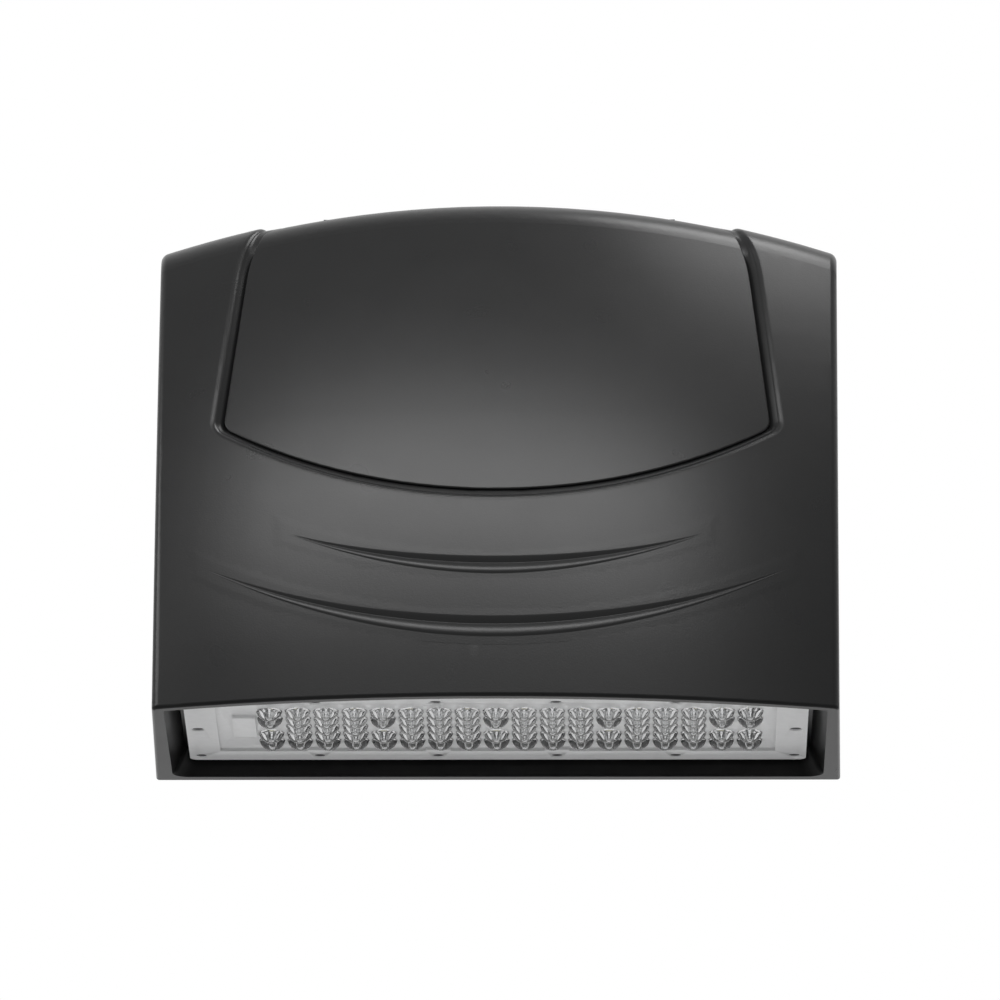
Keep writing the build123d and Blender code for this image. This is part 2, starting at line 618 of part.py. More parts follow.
def cheek(x, side):
    """One of the two hinge lugs of the box beside the hood's lug."""
    near = x + side * (LUG_W / 2 + LUG_GAP)
    far = near + side * CHEEK_W
    body = bar(near, far, HINGE_Y, HINGE_Z, LUG_R)
    wall = RIM_Z + BOX_RISE + FLANGE_W + BOX_WALL / 2
    body += span(near, far, -BOX_DEPTH, HINGE_Y + LUG_R, HINGE_Z, wall)
    return body - bar(near, far, HINGE_Y, HINGE_Z, PIN_R + PIN_FIT)


def housing_gasket():
    """Seal between the flange of the box and the rear rim of the hood."""
    inset = FLANGE_INSET + SEAL_INSET
    low = RIM_Z + BOX_RISE + SEAL_INSET
    seal = box_ring(inset, low, -BOX_DEPTH, HOOD_BACK, BOX_ROUND)
    seal -= box_ring(inset + SEAL_W, low + SEAL_W, -BOX_DEPTH, HOOD_BACK, BOX_ROUND / 2)
    notch_half = EAR_HALF + EAR_NOTCH
    for x in (-EAR_X, EAR_X):
        seal -= span(x - notch_half, x + notch_half, -BOX_DEPTH, HOOD_BACK, EAR_Z - 2 * GAP, TOP_Z)
    return seal


def hinge_pin(x):
    """Headed pin with a groove for its clip at the far end."""
    half = LUG_W / 2 + LUG_GAP + CHEEK_W
    groove = x + half + GAP
    pin = bar(x - half, groove + CLIP_T + PIN_R / 2, HINGE_Y, HINGE_Z, PIN_R)
    pin += bar(x - half - PIN_HEAD_T, x - half, HINGE_Y, HINGE_Z, PIN_HEAD_R)
    neck = bar(groove, groove + CLIP_T, HINGE_Y, HINGE_Z, PIN_R)
    return pin - (neck - bar(groove, groove + CLIP_T, HINGE_Y, HINGE_Z, CLIP_BORE_R - SCREW_PLAY))


def hinge_clip(x):
    """Open spring clip in the groove of a hinge pin."""
    groove = x + LUG_W / 2 + LUG_GAP + CHEEK_W + GAP
    clip = bar(groove, groove + CLIP_T, HINGE_Y, HINGE_Z, PIN_HEAD_R)
    clip -= bar(groove, groove + CLIP_T, HINGE_Y, HINGE_Z, CLIP_BORE_R)
    mouth = (HINGE_Y - PIN_R / 2, HINGE_Y + PIN_R / 2)
    return clip - span(groove, groove + CLIP_T, *mouth, HINGE_Z, HINGE_Z - LUG_R)


def cover_screw(x):
    """Cover screw with a slotted hexagon head."""
    shank = post(x, COVER_SCREW_Y, COVER_SEAT - COVER_SCREW_L, COVER_SEAT, COVER_SCREW_R)
    head = extrude(Pos(x, COVER_SCREW_Y, COVER_SEAT) * RegularPolygon(COVER_HEAD_R, 6), COVER_HEAD_T)
    top = COVER_SEAT + COVER_HEAD_T
    half = DRIVE_SLOT_W / 2
    slot = (x - COVER_HEAD_R, x + COVER_HEAD_R, COVER_SCREW_Y - half, COVER_SCREW_Y + half)
    return shank + head - span(*slot, top - DRIVE_SLOT, top)


def conduit_plug(place):
    """Round plug with a hexagon socket."""
    under_head = place.offset(ENTRY_PAD + PLUG_RING_T)
    length = ENTRY_BOSS_T + PLUG_RING_T
    plug = under_head.offset(-length / 2) * Cylinder(ENTRY_R - PLUG_PLAY, length)
    plug += under_head.offset(PLUG_HEAD_T / 2) * Cylinder(PLUG_HEAD_R, PLUG_HEAD_T)
    hexagon = RegularPolygon(PLUG_SOCKET / 2, 6, major_radius=False)
    socket = extrude(under_head.offset(PLUG_HEAD_T) * hexagon, -PLUG_SOCKET)
    return plug - socket


def plug_ring(place):
    """Sealing ring under the head of a plug."""
    middle = place.offset(ENTRY_PAD + PLUG_RING_T / 2)
    ring = middle * Cylinder(PLUG_HEAD_R - PLUG_PLAY, PLUG_RING_T)
    return ring - middle * Cylinder(ENTRY_R, PLUG_RING_T)


def ground_screw():
    """Earthing screw in the floor of the box."""
    seat = -BOX_WALL - GROUND_BOSS_T
    screw = stud(GROUND_X, GROUND_Z, GROUND_SCREW_END - GAP, seat, GROUND_SCREW_R)
    flat = Plane.XZ.offset(-seat) * Pos(GROUND_X, GROUND_Z) * RegularPolygon(GROUND_HEAD_R, 6)
    return screw + extrude(flat, GROUND_HEAD_T)


def lens_block(inset, z0, z1, corner):
    """The optic plate's outline, moved in, between two heights."""
    sheet = RectangleRounded(LENS_W - 2 * inset, LENS_D - 2 * inset, corner)
    flat = Pos(0, (LENS_BACK + LENS_LIP) / 2, z0) * sheet
    return extrude(flat, z1 - z0)


def optic_field(grow, z0, z1):
    """Block over the sunk panel of the optic plate."""
    half = LENS_W / 2 - LENS_SIDE + grow
    return span(-half, half, LENS_LIP + LENS_FRONT - grow, LENS_BACK - LENS_REAR + grow, z0, z1)


def dome(foot_r, height, foot_z):
    """A round dome below the given height."""
    ball_r = (foot_r**2 + height**2) / (2 * height)
    ball = Pos(0, 0, foot_z + ball_r - height) * Sphere(ball_r)
    return ball - Pos(0, 0, foot_z + ball_r) * Box(4 * ball_r, 4 * ball_r, 2 * ball_r)


def lens_plate():
    """Clear plate with a thick flange, a sunk panel, the small lenses and the connector's cover."""
    plate = lens_block(0, LENS_Z, LENS_TOP, LENS_ROUND)
    plate -= optic_field(0, LENS_Z, OPTIC_Z)
    plate -= optic_field(0, OPTIC_Z + LENS_PANEL_T, LENS_TOP)
    plate += [lobe(x, side) for x in LENS_SCREW_XS[1:-1] for side in (-1, 1)]
    lens = dome(OPTIC_R, OPTIC_H, OPTIC_Z)
    hollow = dome(OPTIC_HOLLOW_R, OPTIC_HOLLOW_H, OPTIC_Z + LENS_PANEL_T)
    plate += [Pos(x, y) * lens for x, y in LENS_PLACES]
    plate -= [Pos(x, y) * hollow for x, y in LENS_PLACES]
    half_w, half_d = BUMP_W / 2, BUMP_D / 2
    low = OPTIC_Z - BUMP_T
    area = (BUMP_X - half_w, BUMP_X + half_w, BUMP_Y - half_d, BUMP_Y + half_d)
    cover = span(*area, low, OPTIC_Z + LENS_PANEL_T / 2)
    plate += fillet(cover.edges().filter_by(Axis.Z), BUMP_WALL)
    half_w, half_d = half_w - BUMP_WALL, half_d - BUMP_WALL
    room = (BUMP_X - half_w, BUMP_X + half_w, BUMP_Y - half_d, BUMP_Y + half_d)
    cuts = [span(*room, low + BUMP_WALL, OPTIC_Z + LENS_PANEL_T)]
    cuts += [post(x, y, LENS_Z, LENS_Z + SCREW_SINK, SCREW_SINK_R) for x, y in LENS_SCREWS]
    cuts += [post(x, y, LENS_Z, LENS_TOP, SCREW_HOLE_R) for x, y in LENS_SCREWS]
    return plate - cuts


def lobe(x, side):
    """Lobe of the flange into the optic panel, beside a screw at the front or the rear."""
    rear, front = LENS_BACK - LENS_REAR, LENS_LIP + LENS_FRONT
    edge, tip = (rear, rear - LOBE_REACH) if side > 0 else (front, front + LOBE_REACH)
    block = span(x - LOBE_W / 2, x + LOBE_W / 2, tip, edge, LENS_Z, OPTIC_Z + LENS_PANEL_T / 2)
    tips = block.edges().filter_by(Axis.Z).sort_by(lambda e: abs(e.center().Y - tip))[:2]
    return fillet(tips, LOBE_REACH / 2)


def lens_gasket():
    """Flat seal on top of the optic plate's flange."""
    seal = lens_block(LENS_SEAL_INSET, LENS_TOP, PAN_Z, LENS_ROUND)
    seal -= optic_field(LENS_SEAL_INSET, LENS_TOP, PAN_Z)
    return seal - [post(x, y, LENS_TOP, PAN_Z, SCREW_HOLE_R + SCREW_PLAY) for x, y in LENS_SCREWS]


def board_layer(inset, z0, z1, hole_r):
    """A flat layer over the board's area, pierced for its screws and its lead."""
    layer = optic_field(-inset, z0, z1)
    holes = [post(x, y, z0, z1, hole_r) for x, y in BOARD_SCREWS]
    holes.append(post(BUMP_X, BUMP_Y, z0, z1, LEAD_R + 2 * LEAD_PLAY))
    return layer - holes


def driver_section():
    """Cross-section of the driver, seen from its end."""
    return Pos(BUMP_Y, LEAD_Z) * RectangleRounded(DRIVER_W, DRIVER_H, DRIVER_ROUND)


def driver_case():
    """Extruded case of the driver, with three grooves along its top."""
    flat = Plane.YZ.offset(-DRIVER_L / 2) * driver_section()
    case = extrude(flat, DRIVER_L)
    top = DRIVER_Z + DRIVER_H
    for i in (-1, 0, 1):
        y = BUMP_Y + i * DRIVER_W / 4
        case -= span(-DRIVER_L / 2, DRIVER_L / 2, y - CAP_T, y + CAP_T, top - FOOT_T / 2, top)
    return case


def driver_end_cap(side):
    """End cap of the driver with its mounting foot and the lead's hole."""
    near, far = side * DRIVER_L / 2, side * (DRIVER_L / 2 + CAP_T)
    flat = Plane.YZ.offset(min(near, far)) * driver_section()
    cap = extrude(flat, CAP_T)
    toe = side * (DRIVER_L / 2 + CAP_T + FOOT_L)
    foot = span(near, toe, BUMP_Y - FOOT_W / 2, BUMP_Y + FOOT_W / 2, DRIVER_Z, DRIVER_Z + FOOT_T)
    cap += foot
    holes = [post(x, y, DRIVER_Z, DRIVER_Z + FOOT_T, SCREW_HOLE_R) for x, y in FOOT_SCREWS if x * side > 0]
    return cap - holes


def terminal_block():
    """Three-pole terminal block with screw wells on top and wire holes in the rear."""
    low = PAN_TOP + TERMINAL_LIFT
    half_w, half_d = TERMINAL_W / 2, TERMINAL_D / 2
    area = (TERMINAL_X - half_w, TERMINAL_X + half_w, BUMP_Y - half_d, BUMP_Y + half_d)
    block = span(*area, low, low + TERMINAL_H)
    for x in POLES:
        block -= post(x, BUMP_Y, low + TERMINAL_H - POLE_DEEP, low + TERMINAL_H, POLE_R)
        block -= stud(x, low + TERMINAL_H / 3, BUMP_Y, BUMP_Y + half_d, POLE_R - LEAD_PLAY)
    return block


def terminal_screw(x):
    """Slotted clamping screw at the bottom of a well."""
    low = PAN_TOP + TERMINAL_LIFT + TERMINAL_H - POLE_DEEP
    high = low + POLE_DEEP / 2
    screw = post(x, BUMP_Y, low, high, POLE_R - LEAD_PLAY)
    half = DRIVE_SLOT_W / 2
    return screw - span(x - POLE_R, x + POLE_R, BUMP_Y - half, BUMP_Y + half, high - DRIVE_SLOT, high)


def led_lead():
    """Lead from the driver, through the grommet, down to the board's connector."""
    start = Vector(-DRIVER_L / 2 - CAP_T, BUMP_Y, LEAD_Z)
    bend = Vector(BUMP_X + LEAD_BEND, BUMP_Y, LEAD_Z)
    turn = Vector(BUMP_X, BUMP_Y, LEAD_Z - LEAD_BEND)
    end = Vector(BUMP_X, BUMP_Y, BOARD_Z)
    hub = Vector(bend.X, BUMP_Y, turn.Z)
    middle = hub + Vector(-sin(radians(45)), 0, cos(radians(45))) * LEAD_BEND
    path = Line(start, bend) + ThreePointArc(bend, middle, turn) + Line(turn, end)
    return sweep(Plane(start, z_dir=(-1, 0, 0)) * Circle(LEAD_R), path)


def lead_grommet():
    """Rubber grommet in the pan, round the lead."""
    grommet = post(BUMP_X, BUMP_Y, PAN_Z, PAN_TOP + GROMMET_FLANGE_T, GROMMET_R)
    grommet += post(BUMP_X, BUMP_Y, PAN_TOP, PAN_TOP + GROMMET_FLANGE_T, GROMMET_FLANGE_R)
    return grommet - post(BUMP_X, BUMP_Y, PAN_Z, PAN_TOP + GROMMET_FLANGE_T, LEAD_R + LEAD_PLAY)


def board_connector():
    """Connector on the lower side of the board."""
    half_w, half_d = CONNECTOR_W / 2, CONNECTOR_D / 2
    low = BOARD_Z - CONNECTOR_T
    return span(BUMP_X - half_w, BUMP_X + half_w, BUMP_Y - half_d, BUMP_Y + half_d, low, BOARD_Z)


def led_chip(x, y):
    """One LED on the lower side of the board."""
    half = CHIP / 2
    return span(x - half, x + half, y - half, y + half, BOARD_Z - CHIP_T, BOARD_Z)


def lens_screw(x, y):
    """Pan-head screw in a counterbore of the optic plate."""
    seat = LENS_Z + SCREW_SINK
    length = PAN_TOP + SCREW_BOSS_T - SCREW_END - GAP - seat
    return rising_screw(x, y, seat, SCREW_HEAD_R, SCREW_HEAD_T, SCREW_R, length)


def board_screw(x, y):
    """Flat-head screw that holds the board to the pan."""
    length = PAN_TOP + SCREW_BOSS_T - SCREW_END - GAP - BOARD_Z
    return rising_screw(x, y, BOARD_Z, BOARD_SCREW_HEAD_R, BOARD_SCREW_HEAD_T, SCREW_R, length)


def driver_screw(x, y):
    """Screw through a foot of the driver."""
    return sinking_screw(x, y, DRIVER_Z + FOOT_T, FOOT_HEAD_R, FOOT_HEAD_T, SCREW_R, DRIVER_LIFT)


def group(shapes):
    """Several loose solids as one shape."""
    return Compound(list(shapes))


HINGES = (-HINGE_X, HINGE_X)
NODES = {
    "front_housing": front_housing(),
    "back_box": back_box(),
    "housing_gasket": housing_gasket(),
    "hinge_pins": group(hinge_pin(x) for x in HINGES),
    "hinge_clips": group(hinge_clip(x) for x in HINGES),
    "cover_screws": group(cover_screw(x) for x in (-EAR_X, EAR_X)),
    "conduit_plugs": group(conduit_plug(place) for place in entries()),
    "plug_rings": group(plug_ring(place) for place in entries()),
    "ground_screw": ground_screw(),
    "lens_plate": lens_plate(),
    "lens_gasket": lens_gasket(),
    "lens_screws": group(lens_screw(x, y) for x, y in LENS_SCREWS),
    "led_board": board_layer(BOARD_INSET, BOARD_Z, BOARD_Z + BOARD_T, SCREW_HOLE_R),
    "thermal_pad": board_layer(BOARD_INSET + PAD_T, PAN_Z - PAD_T, PAN_Z, SCREW_HOLE_R + SCREW_PLAY),
    "led_chips": group(led_chip(x, y) for x, y in LENS_PLACES),
    "board_connector": board_connector(),
    "board_screws": group(board_screw(x, y) for x, y in BOARD_SCREWS),
    "driver_case": driver_case(),
    "driver_end_caps": group(driver_end_cap(side) for side in (-1, 1)),
    "driver_screws": group(driver_screw(x, y) for x, y in FOOT_SCREWS),
    "terminal_block": terminal_block(),
    "terminal_screws": group(terminal_screw(x) for x in POLES),
    "led_lead": led_lead(),
    "lead_grommet": lead_grommet(),
    "supply_lead": bar(DRIVER_L / 2 + CAP_T, TERMINAL_X - TERMINAL_W / 2, BUMP_Y, LEAD_Z, SUPPLY_R),
}
for name, shape in NODES.items():
    export_step(shape, "parts/" + name + ".step")
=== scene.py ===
import json
import math

import bmesh
import bpy
from bpy.props import FloatProperty, FloatVectorProperty, PointerProperty
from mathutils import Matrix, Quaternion, Vector
from mathutils.bvhtree import BVHTree
from mathutils.interpolate import poly_3d_calc
from mathutils.kdtree import KDTree

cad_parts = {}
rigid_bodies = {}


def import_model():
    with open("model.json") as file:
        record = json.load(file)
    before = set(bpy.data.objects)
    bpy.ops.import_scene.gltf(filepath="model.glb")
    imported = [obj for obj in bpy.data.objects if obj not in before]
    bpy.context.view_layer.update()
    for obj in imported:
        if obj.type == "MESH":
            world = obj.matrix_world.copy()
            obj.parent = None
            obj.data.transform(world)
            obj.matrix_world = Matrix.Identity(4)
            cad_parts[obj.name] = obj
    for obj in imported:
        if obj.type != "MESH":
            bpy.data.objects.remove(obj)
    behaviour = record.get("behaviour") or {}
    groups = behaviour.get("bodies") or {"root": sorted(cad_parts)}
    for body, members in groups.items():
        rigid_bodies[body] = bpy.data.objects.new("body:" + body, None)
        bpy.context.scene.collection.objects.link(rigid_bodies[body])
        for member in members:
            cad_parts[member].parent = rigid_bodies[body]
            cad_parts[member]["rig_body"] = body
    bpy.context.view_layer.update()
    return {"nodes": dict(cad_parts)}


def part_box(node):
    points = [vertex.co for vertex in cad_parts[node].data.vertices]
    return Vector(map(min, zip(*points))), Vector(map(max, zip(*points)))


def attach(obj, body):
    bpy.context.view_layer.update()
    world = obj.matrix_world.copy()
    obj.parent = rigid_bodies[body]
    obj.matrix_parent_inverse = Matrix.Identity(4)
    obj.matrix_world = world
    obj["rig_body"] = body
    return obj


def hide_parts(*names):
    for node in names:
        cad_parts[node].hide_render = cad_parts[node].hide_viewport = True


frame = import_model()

bl_info = {
    "name": "Outdoor wall light",
    "version": (1, 0, 0),
    "blender": (4, 5, 0),
    "location": "View3D > Sidebar > Wall light",
    "description": "Finishes the pieces of a cast outdoor wall light and sets them on a plain stage",
    "category": "Object",
}

NODES = frame["nodes"]
WELD = 2e-6  # vertices nearer than this are one
FINE_STEP = 0.0001  # from one place to the next along the channel's edge
SHARP_EDGE = math.radians(30)
OFF_NORMAL = math.cos(math.radians(5))  # a normal farther off its face is not kept
SAME_FACE = math.cos(math.radians(25))  # neighbours farther off are another face
ROUND_TURN = math.radians(65)  # turn of the shoulder's round
ROUND_STEPS = 9
SLOPE_STEPS = 4
GROOVES = (
    # from the rim up to the groove's middle, half its length, rise to its tips, width
    (0.0734, 0.108, 0.0221, 0.0101),
    (0.0386, 0.1505, 0.0402, 0.0118),
)
WALL_CURVE = 1.2  # 1 makes a groove's upper wall straight
TAPER = 1.1  # how fast a groove thins out towards its tips
THINNEST = 0.01  # share of a groove's width that is left at its tips
HALF_ROWS = 2.5  # rows of small lenses on each side of their middle
HALF_COLUMNS = 9
PLASTIC_IOR = 1.58
NOISE_ROUGHNESS = 0.6
NOISE_LOW, NOISE_HIGH = 0.3, 0.7  # most of a noise lies between these
PATCH_GRAINS = 30  # grains across one soft patch of tone
PATCH_FADE = 6  # how much weaker the patches are than the grain
CELL_MIDDLE = (0.5, 0.5, 0)  # of the square round one LED
SENSOR_WIDTH = 36.0  # of the camera, in mm
FARTHEST = 100.0  # what the camera still sees
FLOOR_HALF = 8.0
LAMPS = (
    # name, place, width, depth, the setting with its power
    ("key_lamp", (-0.14, -1.40, 1.88), 1.75, 0.5, "key"),
    ("top_lamp", (0.66, 0.13, 2.07), 1.1, 0.65, "top"),
    ("side_lamp", (-1.85, -0.7, 1.3), 1.6, 0.6, "side"),
    ("fill_lamp", (0.0, -1.85, 1.55), 2.0, 0.6, "fill"),
)


def colour(name, description, default):
    """A linear colour that a user can change."""
    return FloatVectorProperty(
        name=name, description=description, subtype="COLOR", size=3, min=0, max=1, default=default
    )


def share(name, description, default):
    """A number from 0 to 1 that a user can change."""
    return FloatProperty(name=name, description=description, subtype="FACTOR", min=0, max=1, default=default)


def length(name, description, default):
    """A length in metres that a user can change."""
    return FloatProperty(
        name=name, description=description, subtype="DISTANCE", unit="LENGTH", precision=5, default=default
    )


def angle(name, description, default):
    """An angle, given in degrees, that a user can change."""
    return FloatProperty(
        name=name, description=description, subtype="ANGLE", unit="ROTATION", default=math.radians(default)
    )


def power(name, description, default):
    """The power of a lamp in watts that a user can change."""
    return FloatProperty(name=name, description=description, subtype="POWER", unit="POWER", default=default)


class CoatSettings(bpy.types.PropertyGroup):
    """Powder coat of the castings."""

    tone: colour("Coat colour", "Colour of the powder coat", (0.005, 0.0051, 0.0052))
    roughness: share("Roughness", "Roughness of the powder coat", 0.28)
    gloss: share("Gloss", "Strength of the coat's reflections", 0.13)
    grain: length("Grain", "Width of one grain of the coat", 0.0009)
    grain_depth: length("Grain depth", "Height of the coat's grain", 0.000035)


class ChannelSettings(bpy.types.PropertyGroup):
    """Channel round the centre panel and the shoulder that runs down into it."""

    half_width: length("Half width", "From the middle to the channel's side", 0.144)
    side_height: length("Side height", "Height at which the half width is taken", 0.0142)
    foot: length("Foot", "Height of the channel's lowest point", -0.0367)
    foot_radius: length("Foot radius", "Radius of the channel's foot", 0.25)
    lean: angle("Lean", "Angle at which the channel's sides lean in", 6.0)
    bend: length("Bend", "Height at which the sides start to curve in", 0.1032)
    bend_radius: length("Bend radius", "Radius of the sides' curve", 0.095)
    bend_turn: angle("Bend turn", "Turn of the sides' curve", 27.0)
    corner: length("Corner", "Radius of the corners at the foot", 0.009)
    margin: length("Margin", "From the channel's edge out to the start of the shoulder", 0.0024)
    end_margin: length("End margin", "The margin at the channel's ends", 0.0072)
    brow: length("Brow", "Height at which the channel's ends meet the hood's top", 0.142)
    stop: length("Stop", "Depth at which the shoulder ends on the top", -0.044)
    step: length("Step", "From one row of the shoulder to the next", 0.0012)
    fade: length("Fade", "Length over which the channel rises at its ends", 0.03)
    reach: length("Reach", "How far from its edge the channel is looked for", 0.012)
    floor: length("Floor", "Depth of the cast channel below the wings", 0.0046)
    sink: length("Sink", "How much deeper the channel is made", 0.001)
    foot_depth: length("Foot depth", "Depth of the shoulder at the channel's foot", 0.0027)
    slack: length("Slack", "How far from the floor's depth its corners are looked for", 0.0008)
    crown: angle("Crown", "Slope of the hood's top edge at the channel's ends", 22.0)
    panel: length("Panel", "Depth of the centre panel below the wings", 0.0023)
    round_start: length("Round start", "From the channel's edge out to the shoulder's round", 0.002)
    round_width: length("Round width", "Half width of the shoulder's round", 0.0038)
    round_depth: length("Round depth", "Depth of the shoulder's round", 0.003)
    slope_width: length("Slope width", "From the channel's edge to the foot of the shoulder", 0.0053)
    end_width: length("End width", "The slope's width at the channel's ends", 0.0102)
    lift: length("Lift", "Height of the shoulder's start over the wings", 0.00005)


class GrooveSettings(bpy.types.PropertyGroup):
    """Hood's face and the smile-shaped grooves across it, with a roll along the lower edge."""

    lip: length("Lip", "Place of the lip in front of the wall", -0.2085)
    rim: length("Rim", "Height of the lip", -0.15)
    face_radius: length("Face radius", "Radius of the face seen from the side", 0.95)
    face_lean: angle("Face lean", "Angle at which the face leans back at the lip", 13.0)
    bow_radius: length("Bow radius", "Radius of the lip seen from above", 0.598)
    sink: length("Sink", "Depth of a groove at its crease", 0.0008)
    proud: length("Proud", "How far the roll stands out", 0.0003)
    crease: share("Crease", "Place of the crease across the groove", 0.37)
    crest: share("Crest", "Place of the roll's crest across the groove", 0.81)
    row: length("Row", "From one row of the grooves' skin to the next", 0.0002)
    column: length("Column", "From one column of the grooves' skin to the next", 0.001)
    margin: length("Margin", "Skin round a groove", 0.0045)
    lift: length("Lift", "Height of the skin over the face", 0.000025)
    front: length("Front", "The casting is moved only in front of this depth", -0.05)
    under: length("Under", "How far the casting lies under the skin", 0.00012)
    fall: length("Fall", "How far the skin's border dips into the casting", 0.00005)


class OpticSettings(bpy.types.PropertyGroup):
    """Optic plate and what shows through it."""

    flange: colour("Flange", "Colour of the plate's frosted flange", (0.88, 0.885, 0.89))
    flange_clear: share("Clear flange", "How much light passes the frosted flange", 0.4)
    lens: colour("Lenses", "Tint of the clear lenses", (0.96, 0.965, 0.97))
    lens_roughness: share("Lens roughness", "Roughness of the clear lenses", 0.02)
    lens_radius: length("Lens radius", "Radius at the foot of a small lens", 0.0066)
    lens_height: length("Lens height", "From the panel to the tip of a small lens", 0.0054)
    pitch: length("Pitch", "From one small lens to the next", 0.01426)
    array: FloatVectorProperty(
        name="Array", description="Middle of the lenses", subtype="XYZ", unit="LENGTH", size=2,
        default=(0.00685, -0.1149),
    )
    panel: length("Panel", "Thickness of the panel under the lenses", 0.002)
    hollow_radius: length("Hollow radius", "Radius at the mouth of the hollow over an LED", 0.0032)
    hollow_cast: length("Plain hollow", "Depth of the hollow before it is drawn out", 0.0036)
    hollow: length("Hollow", "Depth of the hollow over an LED", 0.0058)
    waist: share("Waist", "How far the hollow draws in at half its depth", 0.35)
    # Painted shade: a dark round disc under each LED, which shows darkly through the clear lenses' flanks
    pad: colour("Pad", "Colour of the round pad under an LED", (0.12, 0.12, 0.12))
    shade_disc_radius: length("Pad radius", "Radius of the round pad under an LED", 0.0066)
    mask: colour("Board", "Colour of the board's mask", (0.74, 0.745, 0.74))
    phosphor: colour("LED", "Colour of an LED's phosphor", (0.8, 0.76, 0.6))
    connector: colour("Connector", "Colour of the board's connector", (0.72, 0.72, 0.7))


class FastenerSettings(bpy.types.PropertyGroup):
    """Screws, pins and clips."""

    steel: colour("Steel", "Colour of bright steel", (0.5, 0.5, 0.51))
    dark: colour("Dark steel", "Colour of blackened steel", (0.05, 0.05, 0.052))
    ground: colour("Ground screw", "Colour of the ground screw", (0.03, 0.2, 0.05))


class SealSettings(bpy.types.PropertyGroup):
    """Seals, rings, pad and grommet."""

    rubber: colour("Rubber", "Colour of the black rubber", (0.03, 0.03, 0.031))
    pale: colour("Lens seal", "Colour of the pale seal behind the optic plate", (0.8, 0.805, 0.81))
    pad: colour("Thermal pad", "Colour of the thermal pad", (0.3, 0.32, 0.36))


class DriverSettings(bpy.types.PropertyGroup):
    """Driver, terminal block and leads."""

    case: colour("Case", "Colour of the driver's case", (0.55, 0.56, 0.57))
    plastic: colour("Plastic", "Colour of the driver's end caps", (0.02, 0.02, 0.02))
    jacket: colour("Lead", "Colour of the leads' jacket", (0.018, 0.018, 0.019))
    terminal: colour("Terminal", "Colour of the terminal block", (0.55, 0.5, 0.38))


class StageSettings(bpy.types.PropertyGroup):
    """Camera, lamps and floor."""

    aim: FloatVectorProperty(
        name="Aim", description="Point that the camera looks at", subtype="XYZ", unit="LENGTH",
        default=(0.0013, -0.1046, -0.019),
    )
    distance: length("Distance", "From the camera to the light", 6.0)
    below: angle("Below", "Angle of the camera below the horizon", 16.0)
    aside: angle("Aside", "Angle of the camera to the right", 0.6)
    roll: angle("Roll", "Turn of the camera about its own line of sight", 0.11)
    focal: FloatProperty(name="Focal length", description="Lens of the camera in mm", default=423.8)
    floor: colour("Floor", "Colour of the floor", (0.82, 0.82, 0.82))
    floor_drop: length("Floor drop", "From the middle of the wall screws down to the floor", 2.3)
    sky: share("Sky", "Light from all round on rough surfaces", 0.55)
    key: power("Key lamp", "Power of the wide lamp above and in front", 50.0)
    top: power("Top lamp", "Power of the lamp overhead", 22.0)
    side: power("Side lamp", "Power of the lamp at the left", 24.0)
    fill: power("Fill lamp", "Power of the weak lamp in front", 5.0)


def settings():
    """The user's settings of this scene."""
    return bpy.context.scene.wall_light


def number_group(name, inputs, outputs):
    """A new node group with number sockets, and its inlet and outlet."""
    group = bpy.data.node_groups.new(name, "ShaderNodeTree")
    for socket in inputs:
        group.interface.new_socket(socket, in_out="INPUT", socket_type="NodeSocketFloat")
    for socket in outputs:
        group.interface.new_socket(socket, in_out="OUTPUT", socket_type="NodeSocketFloat")
    return group, group.nodes.new("NodeGroupInput"), group.nodes.new("NodeGroupOutput")


def relief_group(name, stretch, detail):
    """Node group for a fine relief on Object coordinates: its height, and a tone round 1."""
    if name in bpy.data.node_groups:
        return bpy.data.node_groups[name]
    group, inlet, outlet = number_group(name, ("Per metre", "Contrast"), ("Height", "Tone"))
    nodes, links = group.nodes, group.links
    place = nodes.new("ShaderNodeTexCoord")
    turn = nodes.new("ShaderNodeMapping")
    turn.inputs["Scale"].default_value = stretch
    links.new(place.outputs["Object"], turn.inputs["Vector"])
    noise = nodes.new("ShaderNodeTexNoise")
    noise.inputs["Detail"].default_value = detail
    noise.inputs["Roughness"].default_value = NOISE_ROUGHNESS
    links.new(turn.outputs["Vector"], noise.inputs["Vector"])
    links.new(inlet.outputs["Per metre"], noise.inputs["Scale"])
    links.new(noise.outputs["Fac"], outlet.inputs["Height"])
    swing = nodes.new("ShaderNodeMapRange")
    swing.clamp = False
    swing.inputs["From Min"].default_value = NOISE_LOW
    swing.inputs["From Max"].default_value = NOISE_HIGH
    swing.inputs["To Min"].default_value = -1.0
    swing.inputs["To Max"].default_value = 1.0
    links.new(noise.outputs["Fac"], swing.inputs["Value"])
    tone = nodes.new("ShaderNodeMath")
    tone.operation = "MULTIPLY_ADD"
    tone.inputs[2].default_value = 1.0
    links.new(swing.outputs["Result"], tone.inputs[0])
    links.new(inlet.outputs["Contrast"], tone.inputs[1])
    links.new(tone.outputs["Value"], outlet.inputs["Tone"])
    return group


def fine_grain():
    """Grain of a powder coat, rubber or a moulded skin."""
    return relief_group("fine_grain", stretch=(1, 1, 1), detail=2.0)


def drawn_lines():
    """Lines of a drawn or extruded metal, which run along X."""
    return relief_group("drawn_lines", stretch=(0.02, 1, 1), detail=3.0)


def soft_patches():
    """Slow changes of tone over a surface."""
    return relief_group("soft_patches", stretch=(1, 1, 1), detail=1.0)


def placed(tree, group, size, contrast):
    """A group's node in a material, with the width of one grain and its contrast."""
    node = tree.nodes.new("ShaderNodeGroup")
    node.node_tree = group
    node.inputs["Per metre"].default_value = 1.0 / size
    node.inputs["Contrast"].default_value = contrast
    return node


